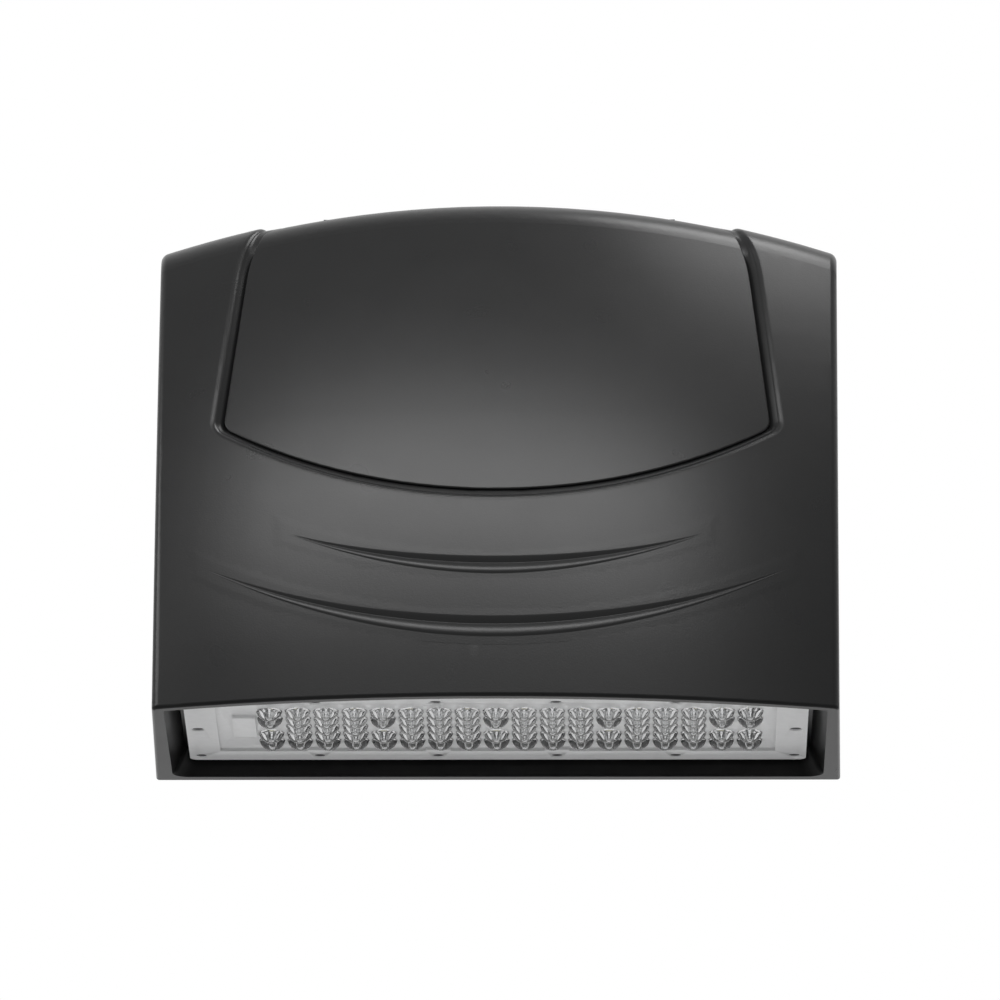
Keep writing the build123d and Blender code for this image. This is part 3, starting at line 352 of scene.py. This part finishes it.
def times(tree, a, b):
    """A node that multiplies a number, or a number socket, by another."""
    node = tree.nodes.new("ShaderNodeMath")
    node.operation = "MULTIPLY"
    for socket, value in zip(node.inputs, (a, b)):
        if isinstance(value, float):
            socket.default_value = value
        else:
            tree.links.new(value, socket)
    return node.outputs["Value"]


def tinted(tree, tone, value):
    """A node that darkens or lightens a colour by a number socket."""
    node = tree.nodes.new("ShaderNodeMix")
    node.data_type = "RGBA"
    node.blend_type = "MULTIPLY"
    node.inputs["Factor"].default_value = 1.0
    node.inputs["A"].default_value = (*tone, 1)
    tree.links.new(value, node.inputs["B"])
    return node.outputs["Result"]


def surface(
    name, tone, roughness, grain, depth, contrast=0.12, metallic=0.0, specular=0.5, relief=fine_grain
):
    """A material with a fine relief, and with soft changes of its colour and its gloss."""
    material = bpy.data.materials.new(name)
    material.use_nodes = True
    tree = material.node_tree
    shader = tree.nodes["Principled BSDF"]
    shader.inputs["Metallic"].default_value = metallic
    shader.inputs["Specular IOR Level"].default_value = specular
    fine = placed(tree, relief(), grain, contrast)
    soft = placed(tree, soft_patches(), PATCH_GRAINS * grain, contrast / PATCH_FADE)
    bump = tree.nodes.new("ShaderNodeBump")
    bump.inputs["Distance"].default_value = depth
    tree.links.new(fine.outputs["Height"], bump.inputs["Height"])
    tree.links.new(bump.outputs["Normal"], shader.inputs["Normal"])
    both = times(tree, fine.outputs["Tone"], soft.outputs["Tone"])
    tree.links.new(tinted(tree, tone, both), shader.inputs["Base Color"])
    tree.links.new(times(tree, soft.outputs["Tone"], float(roughness)), shader.inputs["Roughness"])
    return material


def coat(name, share_of_tone=1.0):
    """Powder coat of a casting."""
    look = settings().coat
    tone = [part * share_of_tone for part in look.tone]
    return surface(name, tone, look.roughness, look.grain, look.grain_depth, specular=look.gloss)


def clear_material(name, tone, roughness, clear, grain, depth):
    """A clear or frosted moulding."""
    material = surface(name, tone, roughness, grain, depth, contrast=0.03)
    shader = material.node_tree.nodes["Principled BSDF"]
    shader.inputs["Transmission Weight"].default_value = clear
    shader.inputs["IOR"].default_value = PLASTIC_IOR
    return material


def paint(piece, material):
    """Gives a piece one material."""
    piece.data.materials.clear()
    piece.data.materials.append(material)


def new_mesh(name, shape):
    """Turns a bmesh into a mesh."""
    mesh = bpy.data.meshes.new(name)
    shape.to_mesh(mesh)
    shape.free()
    return mesh


def new_piece(name, mesh):
    """A piece of the scene with the given mesh."""
    piece = bpy.data.objects.new(name, mesh)
    bpy.context.scene.collection.objects.link(piece)
    return piece


def add_piece(shape, name, node, slot, *materials):
    """Turns a bmesh into a piece that stands for a node."""
    piece = new_piece(name, new_mesh(name, shape))
    for material in materials:
        piece.data.materials.append(material)
    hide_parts(node)
    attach(piece, NODES[node]["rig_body"])
    return piece


def smoothed(shape):
    """A bmesh with all its faces made smooth."""
    for face in shape.faces:
        face.smooth = True
    return shape


def merged_copy(node):
    """A bmesh with a node's faces, merged and smooth."""
    shape = bmesh.new()
    shape.from_mesh(NODES[node].data)
    bmesh.ops.remove_doubles(shape, verts=shape.verts, dist=WELD)
    return smoothed(shape)


def place_key(mesh, index):
    """The place of a vertex as whole numbers, the same for vertices that touch."""
    return tuple(round(part / WELD) for part in mesh.vertices[index].co)


def faded(at_end, along, part):
    """A value that goes from the one at the channel's ends to the one along the channel."""
    return at_end + (along - at_end) * part


def channel_line():
    """The wings' edge of the channel in the front view, from the left end to the right.

    Each place has the way inwards beside it.
    """
    look = settings().channel
    way = Vector((math.sin(look.lean), math.cos(look.lean)))
    inward = Vector((way.y, -way.x))
    hub = Vector((0, look.foot + look.foot_radius))
    base = Vector((-look.half_width, look.side_height))
    along = (base - hub).dot(way)
    chord = math.sqrt(along**2 - (base - hub).length_squared + look.foot_radius**2)
    corner = base - way * (along + chord)
    from_hub = corner + inward * look.corner - hub
    along = from_hub.dot(way)
    inner = (look.foot_radius - look.corner) ** 2
    rise = -along - math.sqrt(along**2 - from_hub.length_squared + inner)
    centre = hub + from_hub + way * rise
    low = math.atan2(centre.y - hub.y, centre.x - hub.x)
    bend = corner + way * ((look.bend - corner.y) / way.y)
    turn = math.pi - look.lean
    left = arc_places(hub, look.foot_radius, -math.pi / 2, low)
    left += arc_places(centre, look.corner, low + 2 * math.pi, turn)
    left += line_places(corner + way * rise, bend, inward)
    left += arc_places(bend + inward * look.bend_radius, look.bend_radius, turn, turn - look.bend_turn)
    tip, inward = left[-1]
    left += line_places(tip, tip + Vector((-inward.y, inward.x)) * look.bend_radius, inward)
    right = [(Vector((-place.x, place.y)), Vector((-into.x, into.y))) for place, into in left]
    return left[::-1] + right[1:]


def arc_places(centre, radius, start, stop):
    """Places along an arc, each with the way to its centre."""
    count = math.ceil(abs(stop - start) * radius / FINE_STEP)
    turns = [start + (stop - start) * step / count for step in range(count + 1)]
    ways = [Vector((math.cos(turn), math.sin(turn))) for turn in turns]
    return [(centre + way * radius, -way) for way in ways]


def line_places(start, stop, inward):
    """Places along a straight line, each with the way inwards."""
    count = math.ceil((stop - start).length / FINE_STEP)
    return [(start.lerp(stop, step / count), inward) for step in range(count + 1)]


def shoulder_rows(mesh):
    """Rows across the channel's edge: a place on the wing, its normal, the way inwards and the fade.

    The fade is 1 along the channel. It falls to 0 at the two ends, where a row runs along the hood's
    top edge.
    """
    look = settings().channel
    tree = BVHTree.FromPolygons([v.co for v in mesh.vertices], [face.vertices for face in mesh.polygons])
    rows = []
    for place, inward in channel_line():
        part = min(max((look.brow - place.y) / look.fade, 0), 1)
        part = part * part * (3 - 2 * part)
        crown = Vector((math.copysign(math.cos(look.crown), -place.x), math.sin(look.crown)))
        way = crown.lerp(inward, part).normalized()
        out = place - way * faded(look.end_margin, look.margin, part)
        hit, _, index, _ = tree.ray_cast(Vector((out.x, -1, out.y)), Vector((0, 1, 0)))
        if hit is None or hit.y > look.stop:
            continue
        if not rows or (hit - rows[-1][0]).length > look.step:
            normal = cast_normal(mesh, index, hit)
            into = Vector((way.x, 0, way.y))
            rows.append((hit, normal, (into - normal * into.dot(normal)).normalized(), part))
    return rows


def cast_normal(mesh, index, place):
    """The casting's own normal at a place on one of its faces."""
    face = mesh.polygons[index]
    weights = poly_3d_calc([mesh.vertices[vert].co for vert in face.vertices], place)
    corners = [Vector(mesh.corner_normals[corner].vector) for corner in face.loop_indices]
    return sum((normal * weight for normal, weight in zip(corners, weights)), Vector()).normalized()


def sunk_channel(mesh):
    """Sinks the floor of the channel in the hood's copy."""
    look = settings().channel
    rows = shoulder_rows(mesh)
    tree = KDTree(len(rows))
    for index, row in enumerate(rows):
        tree.insert(row[0], index)
    tree.balance()
    moves = []
    for vert in mesh.vertices:
        hit, index, away = tree.find(vert.co)
        if away > look.reach:
            continue
        _, normal, inward, part = rows[index]
        across = (vert.co - hit).dot(inward)
        down = (hit - vert.co).dot(normal)
        if 0 < across and look.floor - look.slack < down < look.floor + look.slack:
            moves.append((vert, normal * -look.sink * part * (1 - inward.z**2)))
    for vert, step in moves:
        vert.co += step
    mesh.update()


def both_sides(rows):
    """The rows of the left side, and the same rows mirrored for the right one."""
    flip = Vector((-1, 1, 1))
    left = [row for row in rows if row[0].x < 0]
    right = [(*(way * flip for way in row[:3]), row[3]) for row in reversed(left)]
    return left + right


def shoulder_shape():
    """A bmesh of the rounded shoulder that runs down from the wings into the channel."""
    look = settings().channel
    rows = both_sides(shoulder_rows(NODES["front_housing"].data))
    curve = []
    for step in range(ROUND_STEPS + 1):
        turn = ROUND_TURN * step / ROUND_STEPS
        curve.append((look.round_width * math.sin(turn), look.round_depth * (1 - math.cos(turn))))
    last = len(curve) + SLOPE_STEPS
    shape = bmesh.new()
    bmesh.ops.create_grid(shape, x_segments=len(rows) - 1, y_segments=last, size=1)
    for vert in shape.verts:
        hit, normal, inward, part = rows[round((vert.co.x + 1) / 2 * (len(rows) - 1))]
        column = round((vert.co.y + 1) / 2 * last)
        margin = faded(look.end_margin, look.margin, part)
        width = faded(look.end_width, look.slope_width, part)
        steep = 1 - inward.z**2
        deep = look.foot_depth + (look.floor + look.sink - look.foot_depth) * steep
        depth = faded(look.panel, deep, part)
        across, down = curve[min(max(column - 1, 0), len(curve) - 1)]
        across += margin - look.round_start if column else 0
        slope = max(column - len(curve), 0) / SLOPE_STEPS
        across += (margin + width - across) * slope
        down += (depth - down) * slope
        vert.co = hit + inward * across - normal * (down - look.lift)
    return smoothed(shape)


class HoodFace:
    """The hood's front face, curved two ways."""

    def __init__(self):
        look = settings().groove
        self.radius = look.face_radius
        self.hub_y = look.lip + self.radius * math.cos(look.face_lean)
        self.hub_z = look.rim - self.radius * math.sin(look.face_lean)
        self.bow_y = look.lip + look.bow_radius

    def depth(self, x, z):
        """Y of the face at a place in the front view."""
        middle = self.hub_y - math.sqrt(self.radius**2 - (z - self.hub_z) ** 2)
        return self.bow_y - math.sqrt((self.bow_y - middle) ** 2 - x**2)

    def off(self, x, z, out):
        """A point that stands off the face, along the face's lean."""
        lean = math.asin((z - self.hub_z) / self.radius)
        return Vector((x, self.depth(x, z) - out * math.cos(lean), z + out * math.sin(lean)))


def groove_height(groove, x):
    """Height of a groove's middle at a place along it."""
    rise, reach, lift, _ = groove
    radius = (reach**2 + lift**2) / (2 * lift)
    return settings().groove.rim + rise + radius - math.sqrt(radius**2 - x**2)


def lowered_grooves(mesh):
    """Moves the casting's own grooves and crests in under their skin."""
    look = settings().groove
    face = HoodFace()
    for groove in GROOVES:
        wide, high = groove[1] + look.margin / 2, groove[3] / 2 + look.margin / 2
        for vert in mesh.vertices:
            x, y, z = vert.co
            if abs(x) < wide and y < look.front and abs(z - groove_height(groove, x)) < high:
                level = face.depth(x, z)
                if abs(y - level) < look.margin:
                    vert.co.y = max(y, level) + look.under
    mesh.update()


def groove_profile(look, across):
    """Height of a groove's surface over the face, from its upper edge at 0 to its lower edge at 1."""
    if across <= 0 or across >= 1:
        return 0.0
    if across < look.crease:
        return -look.sink * (across / look.crease) ** WALL_CURVE
    if across < look.crest:
        part = (across - look.crease) / (look.crest - look.crease)
        return (look.sink + look.proud) * part * (2 - part) - look.sink
    return look.proud * math.cos(math.pi / 2 * (across - look.crest) / (1 - look.crest))


def groove_shape():
    """A bmesh of a smooth skin over each groove and its roll."""
    look = settings().groove
    face = HoodFace()
    shape = bmesh.new()
    for groove in GROOVES:
        reach, width = groove[1], groove[3]
        wide, high = reach + look.margin, width / 2 + look.margin
        columns, rows = round(2 * wide / look.column), round(2 * high / look.row)
        grid = bmesh.ops.create_grid(shape, x_segments=columns, y_segments=rows, size=1)
        for vert in grid["verts"]:
            x, off = vert.co.x * wide, vert.co.y * high
            part = math.sin(math.pi / 2 * max(1 - abs(x) / reach, 0)) ** TAPER
            across = 0.5 - off / (width * max(part, THINNEST))
            outside = max(abs(off) - width / 2, abs(x) - reach, 0) / look.margin
            out = part * groove_profile(look, across) + look.lift - look.fall * outside
            vert.co = face.off(x, groove_height(groove, x) + off, out)
    bmesh.ops.recalc_face_normals(shape, faces=shape.faces)
    return smoothed(shape)


def mended_copy(node, name, reshape=None):
    """A piece with a node's faces and normals.

    A normal that lies far off its face gives way to the face's own.
    """
    mesh = NODES[node].data.copy()
    mesh.name = name
    casts = [Vector(corner.vector) for corner in mesh.corner_normals]
    if reshape:
        reshape(mesh)
    meeting = {}
    for face in mesh.polygons:
        for index in face.vertices:
            meeting.setdefault(place_key(mesh, index), []).append(face)
    normals = []
    for face in mesh.polygons:
        for index, corner in zip(face.vertices, face.loop_indices):
            there = meeting[place_key(mesh, index)]
            near = [other for other in there if other.normal.dot(face.normal) > SAME_FACE]
            own = sum((other.normal * other.area for other in near), Vector()).normalized()
            normals.append(casts[corner] if casts[corner].dot(own) > OFF_NORMAL else own)
    mesh.normals_split_custom_set(normals)
    piece = new_piece(name, mesh)
    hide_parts(node)
    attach(piece, NODES[node]["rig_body"])
    return piece


class WALLLIGHT_OT_castings(bpy.types.Operator):
    """Hood, wall box and plugs in their powder coat"""

    bl_idname = "wall_light.castings"
    bl_label = "Castings"

    def execute(self, context):
        hood_coat = coat("hood_coat")
        paint(mended_copy("front_housing", "hood", self.make_room), hood_coat)
        for name, shape in (("channel_shoulder", shoulder_shape()), ("groove_skins", groove_shape())):
            piece = new_piece(name, new_mesh(name, shape))
            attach(piece, "hood")
            paint(piece, hood_coat)
        box_coat = coat("box_coat", share_of_tone=0.95)
        paint(mended_copy("back_box", "wall_box"), box_coat)
        paint(NODES["conduit_plugs"], box_coat)
        return {"FINISHED"}

    def make_room(self, mesh):
        """Lowers the channel and the grooves in the hood's copy."""
        sunk_channel(mesh)
        lowered_grooves(mesh)


class WALLLIGHT_OT_optic_plate(bpy.types.Operator):
    """Optic plate with a frosted flange, clear lenses and their waisted hollows"""

    bl_idname = "wall_light.optic_plate"
    bl_label = "Optic plate"

    def execute(self, context):
        optic = settings().optic
        frosted = clear_material(
            "frosted_flange", optic.flange, roughness=0.3, clear=optic.flange_clear, grain=0.004, depth=0.00002
        )
        clear = clear_material(
            "clear_lens", optic.lens, roughness=optic.lens_roughness, clear=1.0, grain=0.004, depth=0.00001
        )
        shape = merged_copy("lens_plate")
        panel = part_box("lens_plate")[0][2] + optic.lens_height
        roof = panel + optic.panel
        clear_verts = set()
        for vert in shape.verts:
            off, away = self.from_axis(vert.co)
            if away > optic.lens_radius + WELD or vert.co.z > roof + WELD:
                continue
            if away < optic.hollow_radius + WELD and vert.co.z > panel - optic.panel:
                depth = (roof - vert.co.z) / optic.hollow_cast
                vert.co -= off * optic.waist * math.sin(math.pi * depth)
                vert.co.z = roof - depth * optic.hollow
                clear_verts.add(vert)
            elif vert.co.z < panel - WELD:
                clear_verts.add(vert)
        for face in shape.faces:
            face.material_index = int(any(vert in clear_verts for vert in face.verts))
        piece = add_piece(shape, "optic_plate", "lens_plate", "clear_plate", frosted, clear)
        piece.data.set_sharp_from_angle(angle=SHARP_EDGE)
        even = piece.modifiers.new("Even normals", "WEIGHTED_NORMAL")
        even.keep_sharp = True
        return {"FINISHED"}

    def from_axis(self, place):
        """The way from the nearest axis of a small lens, and its length."""
        optic = settings().optic
        off = Vector((place.x - optic.array[0], place.y - optic.array[1], 0))
        off.x = math.remainder(off.x - optic.pitch / 2, optic.pitch)
        off.y = math.remainder(off.y, optic.pitch)
        in_rows = abs(place.y - optic.array[1]) < HALF_ROWS * optic.pitch
        in_columns = abs(place.x - optic.array[0]) < HALF_COLUMNS * optic.pitch
        return off, off.length if in_rows and in_columns else math.inf


class WALLLIGHT_OT_board(bpy.types.Operator):
    """Board, LEDs and connector behind the optic plate"""

    bl_idname = "wall_light.board"
    bl_label = "Board"

    def execute(self, context):
        optic = settings().optic
        # The board's white mask carries painted shade: a dark disc under each LED
        paint(NODES["led_board"], self.board_mask(optic))
        yellow = surface("phosphor", optic.phosphor, roughness=0.5, grain=0.0003, depth=0.00001, contrast=0.08)
        paint(NODES["led_chips"], yellow)
        moulded = surface("connector", optic.connector, roughness=0.5, grain=0.0004, depth=0.00001, contrast=0.04)
        paint(NODES["board_connector"], moulded)
        return {"FINISHED"}

    def board_mask(self, optic):
        """White mask with a dark round disc under each LED, painted shade that shows through the clear lenses'
        flanks.
        """
        material = surface("board_mask", optic.mask, roughness=0.45, grain=0.0006, depth=0.000004, contrast=0.03)
        tree = material.node_tree
        nodes, links = tree.nodes, tree.links
        place = nodes.new("ShaderNodeTexCoord")
        cells = nodes.new("ShaderNodeMapping")
        cells.vector_type = "TEXTURE"
        cells.inputs["Location"].default_value = (optic.array[0], optic.array[1] - optic.pitch / 2, 0)
        cells.inputs["Scale"].default_value = (optic.pitch, optic.pitch, 1)
        links.new(place.outputs["Object"], cells.inputs["Vector"])
        cell = nodes.new("ShaderNodeVectorMath")
        cell.operation = "FRACTION"
        links.new(cells.outputs["Vector"], cell.inputs[0])
        flat = nodes.new("ShaderNodeVectorMath")
        flat.operation = "MULTIPLY"
        flat.inputs[1].default_value = (1, 1, 0)
        links.new(cell.outputs["Vector"], flat.inputs[0])
        away = nodes.new("ShaderNodeVectorMath")
        away.operation = "DISTANCE"
        away.inputs[1].default_value = CELL_MIDDLE
        links.new(flat.outputs["Vector"], away.inputs[0])
        # Mask of the painted shade disc round each LED
        pad = nodes.new("ShaderNodeMath")
        pad.operation = "LESS_THAN"
        pad.inputs[1].default_value = optic.shade_disc_radius / optic.pitch
        links.new(away.outputs["Value"], pad.inputs[0])
        shader = nodes["Principled BSDF"]
        mixed = nodes.new("ShaderNodeMix")
        mixed.data_type = "RGBA"
        links.new(pad.outputs["Value"], mixed.inputs["Factor"])
        links.new(shader.inputs["Base Color"].links[0].from_socket, mixed.inputs["A"])
        # Colour of the painted shade disc
        mixed.inputs["B"].default_value = (*optic.pad, 1)
        links.new(mixed.outputs["Result"], shader.inputs["Base Color"])
        return material


class WALLLIGHT_OT_fasteners(bpy.types.Operator):
    """Screws, pins and clips"""

    bl_idname = "wall_light.fasteners"
    bl_label = "Fasteners"

    def execute(self, context):
        metal = settings().fastener
        steel = surface(
            "steel", metal.steel, roughness=0.32, grain=0.0004, depth=0.000004, contrast=0.1, metallic=1.0,
            relief=drawn_lines,
        )
        dark = surface(
            "dark_steel", metal.dark, roughness=0.4, grain=0.0004, depth=0.00001, contrast=0.2, metallic=1.0
        )
        for node in ("hinge_pins", "hinge_clips", "board_screws", "driver_screws", "terminal_screws"):
            paint(NODES[node], steel)
        for node in ("cover_screws", "lens_screws"):
            paint(NODES[node], dark)
        green = surface("ground_green", metal.ground, roughness=0.4, grain=0.0005, depth=0.00001, contrast=0.1)
        paint(NODES["ground_screw"], green)
        return {"FINISHED"}


class WALLLIGHT_OT_seals(bpy.types.Operator):
    """Seals, rings, pad and grommet"""

    bl_idname = "wall_light.seals"
    bl_label = "Seals"

    def execute(self, context):
        seal = settings().seal
        rubber = surface("black_rubber", seal.rubber, roughness=0.7, grain=0.0005, depth=0.00002, contrast=0.15)
        for node in ("housing_gasket", "plug_rings", "lead_grommet"):
            paint(NODES[node], rubber)
        pale = surface("pale_rubber", seal.pale, roughness=0.6, grain=0.0005, depth=0.00002, contrast=0.04)
        paint(NODES["lens_gasket"], pale)
        pad = surface("pad", seal.pad, roughness=0.8, grain=0.0008, depth=0.00002, contrast=0.1)
        paint(NODES["thermal_pad"], pad)
        return {"FINISHED"}


class WALLLIGHT_OT_driver(bpy.types.Operator):
    """Driver, terminal block and leads inside the hood"""

    bl_idname = "wall_light.driver"
    bl_label = "Driver"

    def execute(self, context):
        look = settings().driver
        drawn = surface(
            "drawn_case", look.case, roughness=0.4, grain=0.0004, depth=0.00001, contrast=0.08, metallic=1.0,
            relief=drawn_lines,
        )
        paint(NODES["driver_case"], drawn)
        cap = surface("cap", look.plastic, roughness=0.5, grain=0.0005, depth=0.00002)
        paint(NODES["driver_end_caps"], cap)
        jacket = surface("jacket", look.jacket, roughness=0.45, grain=0.0008, depth=0.00001)
        for node in ("led_lead", "supply_lead"):
            paint(NODES[node], jacket)
        terminal = surface("terminal", look.terminal, roughness=0.5, grain=0.0004, depth=0.00001, contrast=0.05)
        paint(NODES["terminal_block"], terminal)
        return {"FINISHED"}


class WALLLIGHT_OT_stage(bpy.types.Operator):
    """Camera, lamps, sky and floor"""

    bl_idname = "wall_light.stage"
    bl_label = "Stage"

    def execute(self, context):
        stage = settings().stage
        self.add_camera(context, stage)
        self.add_sky(context, stage)
        self.add_floor(stage)
        for name, place, width, depth, lamp_power in LAMPS:
            self.add_lamp(context, stage, name, place, width, depth, getattr(stage, lamp_power))
        context.scene.view_settings.view_transform = "Standard"
        return {"FINISHED"}

    def add_camera(self, context, stage):
        """A far camera, in front of the light and below it."""
        data = bpy.data.cameras.new("camera")
        data.lens = stage.focal
        data.sensor_width = SENSOR_WIDTH
        data.clip_end = FARTHEST
        camera = bpy.data.objects.new("camera", data)
        level = math.cos(stage.below)
        away = Vector(
            (math.sin(stage.aside) * level, -math.cos(stage.aside) * level, -math.sin(stage.below))
        )
        camera.location = Vector(stage.aim) + away * stage.distance
        sight = (-away).to_track_quat("-Z", "Y") @ Quaternion((0, 0, 1), stage.roll)
        camera.rotation_euler = sight.to_euler()
        context.scene.collection.objects.link(camera)
        context.scene.camera = camera

    def add_sky(self, context, stage):
        """A white sky that is weaker where it lights rough surfaces."""
        world = bpy.data.worlds.new("sky")
        world.use_nodes = True
        context.scene.world = world
        nodes, links = world.node_tree.nodes, world.node_tree.links
        path = nodes.new("ShaderNodeLightPath")
        seen = path.outputs["Is Camera Ray"]
        for name in ("Is Glossy Ray", "Is Transmission Ray"):
            either = nodes.new("ShaderNodeMath")
            either.operation = "MAXIMUM"
            links.new(seen, either.inputs[0])
            links.new(path.outputs[name], either.inputs[1])
            seen = either.outputs["Value"]
        level = nodes.new("ShaderNodeMapRange")
        level.inputs["To Min"].default_value = stage.sky
        level.inputs["To Max"].default_value = 1.0
        links.new(seen, level.inputs["Value"])
        back = nodes["Background"]
        back.inputs["Color"].default_value = (1, 1, 1, 1)
        links.new(level.outputs["Result"], back.inputs["Strength"])

    def add_floor(self, stage):
        """A pale floor far below the light."""
        shape = bmesh.new()
        bmesh.ops.create_grid(shape, x_segments=1, y_segments=1, size=FLOOR_HALF)
        bmesh.ops.translate(shape, verts=shape.verts, vec=(0, 0, -stage.floor_drop))
        floor = new_piece("floor", new_mesh("floor", shape))
        pale = surface("floor", stage.floor, roughness=0.8, grain=0.002, depth=0.00002, contrast=0.01)
        floor.data.materials.append(self.one_sided(pale))

    def one_sided(self, material):
        """Lets a view from below pass through the floor."""
        nodes, links = material.node_tree.nodes, material.node_tree.links
        side = nodes.new("ShaderNodeNewGeometry")
        either = nodes.new("ShaderNodeMixShader")
        links.new(side.outputs["Backfacing"], either.inputs["Fac"])
        links.new(nodes["Principled BSDF"].outputs["BSDF"], either.inputs[1])
        links.new(nodes.new("ShaderNodeBsdfTransparent").outputs["BSDF"], either.inputs[2])
        links.new(either.outputs["Shader"], nodes["Material Output"].inputs["Surface"])
        return material

    def add_lamp(self, context, stage, name, place, width, depth, watts):
        """A wide lamp that points at what the camera looks at."""
        data = bpy.data.lights.new(name, "AREA")
        data.shape = "RECTANGLE"
        data.size = width
        data.size_y = depth
        data.energy = watts
        lamp = bpy.data.objects.new(name, data)
        lamp.location = place
        lamp.visible_camera = False
        towards = Vector(stage.aim) - Vector(place)
        lamp.rotation_euler = towards.to_track_quat("-Z", "Y").to_euler()
        context.scene.collection.objects.link(lamp)


class WallLightSettings(bpy.types.PropertyGroup):
    """All settings of the wall light."""

    coat: PointerProperty(type=CoatSettings)
    channel: PointerProperty(type=ChannelSettings)
    groove: PointerProperty(type=GrooveSettings)
    optic: PointerProperty(type=OpticSettings)
    fastener: PointerProperty(type=FastenerSettings)
    seal: PointerProperty(type=SealSettings)
    driver: PointerProperty(type=DriverSettings)
    stage: PointerProperty(type=StageSettings)


GROUPS = (
    CoatSettings,
    ChannelSettings,
    GrooveSettings,
    OpticSettings,
    FastenerSettings,
    SealSettings,
    DriverSettings,
    StageSettings,
)
STEPS = (
    WALLLIGHT_OT_castings,
    WALLLIGHT_OT_optic_plate,
    WALLLIGHT_OT_board,
    WALLLIGHT_OT_fasteners,
    WALLLIGHT_OT_seals,
    WALLLIGHT_OT_driver,
    WALLLIGHT_OT_stage,
)


class WALLLIGHT_PT_panel(bpy.types.Panel):
    """Sidebar panel with the settings and one button for each group of pieces"""

    bl_label = "Wall light"
    bl_space_type = "VIEW_3D"
    bl_region_type = "UI"
    bl_category = "Wall light"

    def draw(self, context):
        for part in WallLightSettings.__annotations__:
            group = getattr(settings(), part)
            box = self.layout.box()
            for name in group.__annotations__:
                box.prop(group, name)
        for step in STEPS:
            self.layout.operator(step.bl_idname)


CLASSES = (*GROUPS, WallLightSettings, *STEPS, WALLLIGHT_PT_panel)


def register():
    """Registers the classes and the scene's settings."""
    for item in CLASSES:
        bpy.utils.register_class(item)
    bpy.types.Scene.wall_light = PointerProperty(type=WallLightSettings)


def unregister():
    """Takes the classes and the settings away again."""
    del bpy.types.Scene.wall_light
    for item in reversed(CLASSES):
        bpy.utils.unregister_class(item)


def main():
    """Builds the scene."""
    register()
    bpy.ops.wall_light.castings()
    bpy.ops.wall_light.optic_plate()
    bpy.ops.wall_light.board()
    bpy.ops.wall_light.fasteners()
    bpy.ops.wall_light.seals()
    bpy.ops.wall_light.driver()
    bpy.ops.wall_light.stage()


if __name__ == "__main__":
    main()
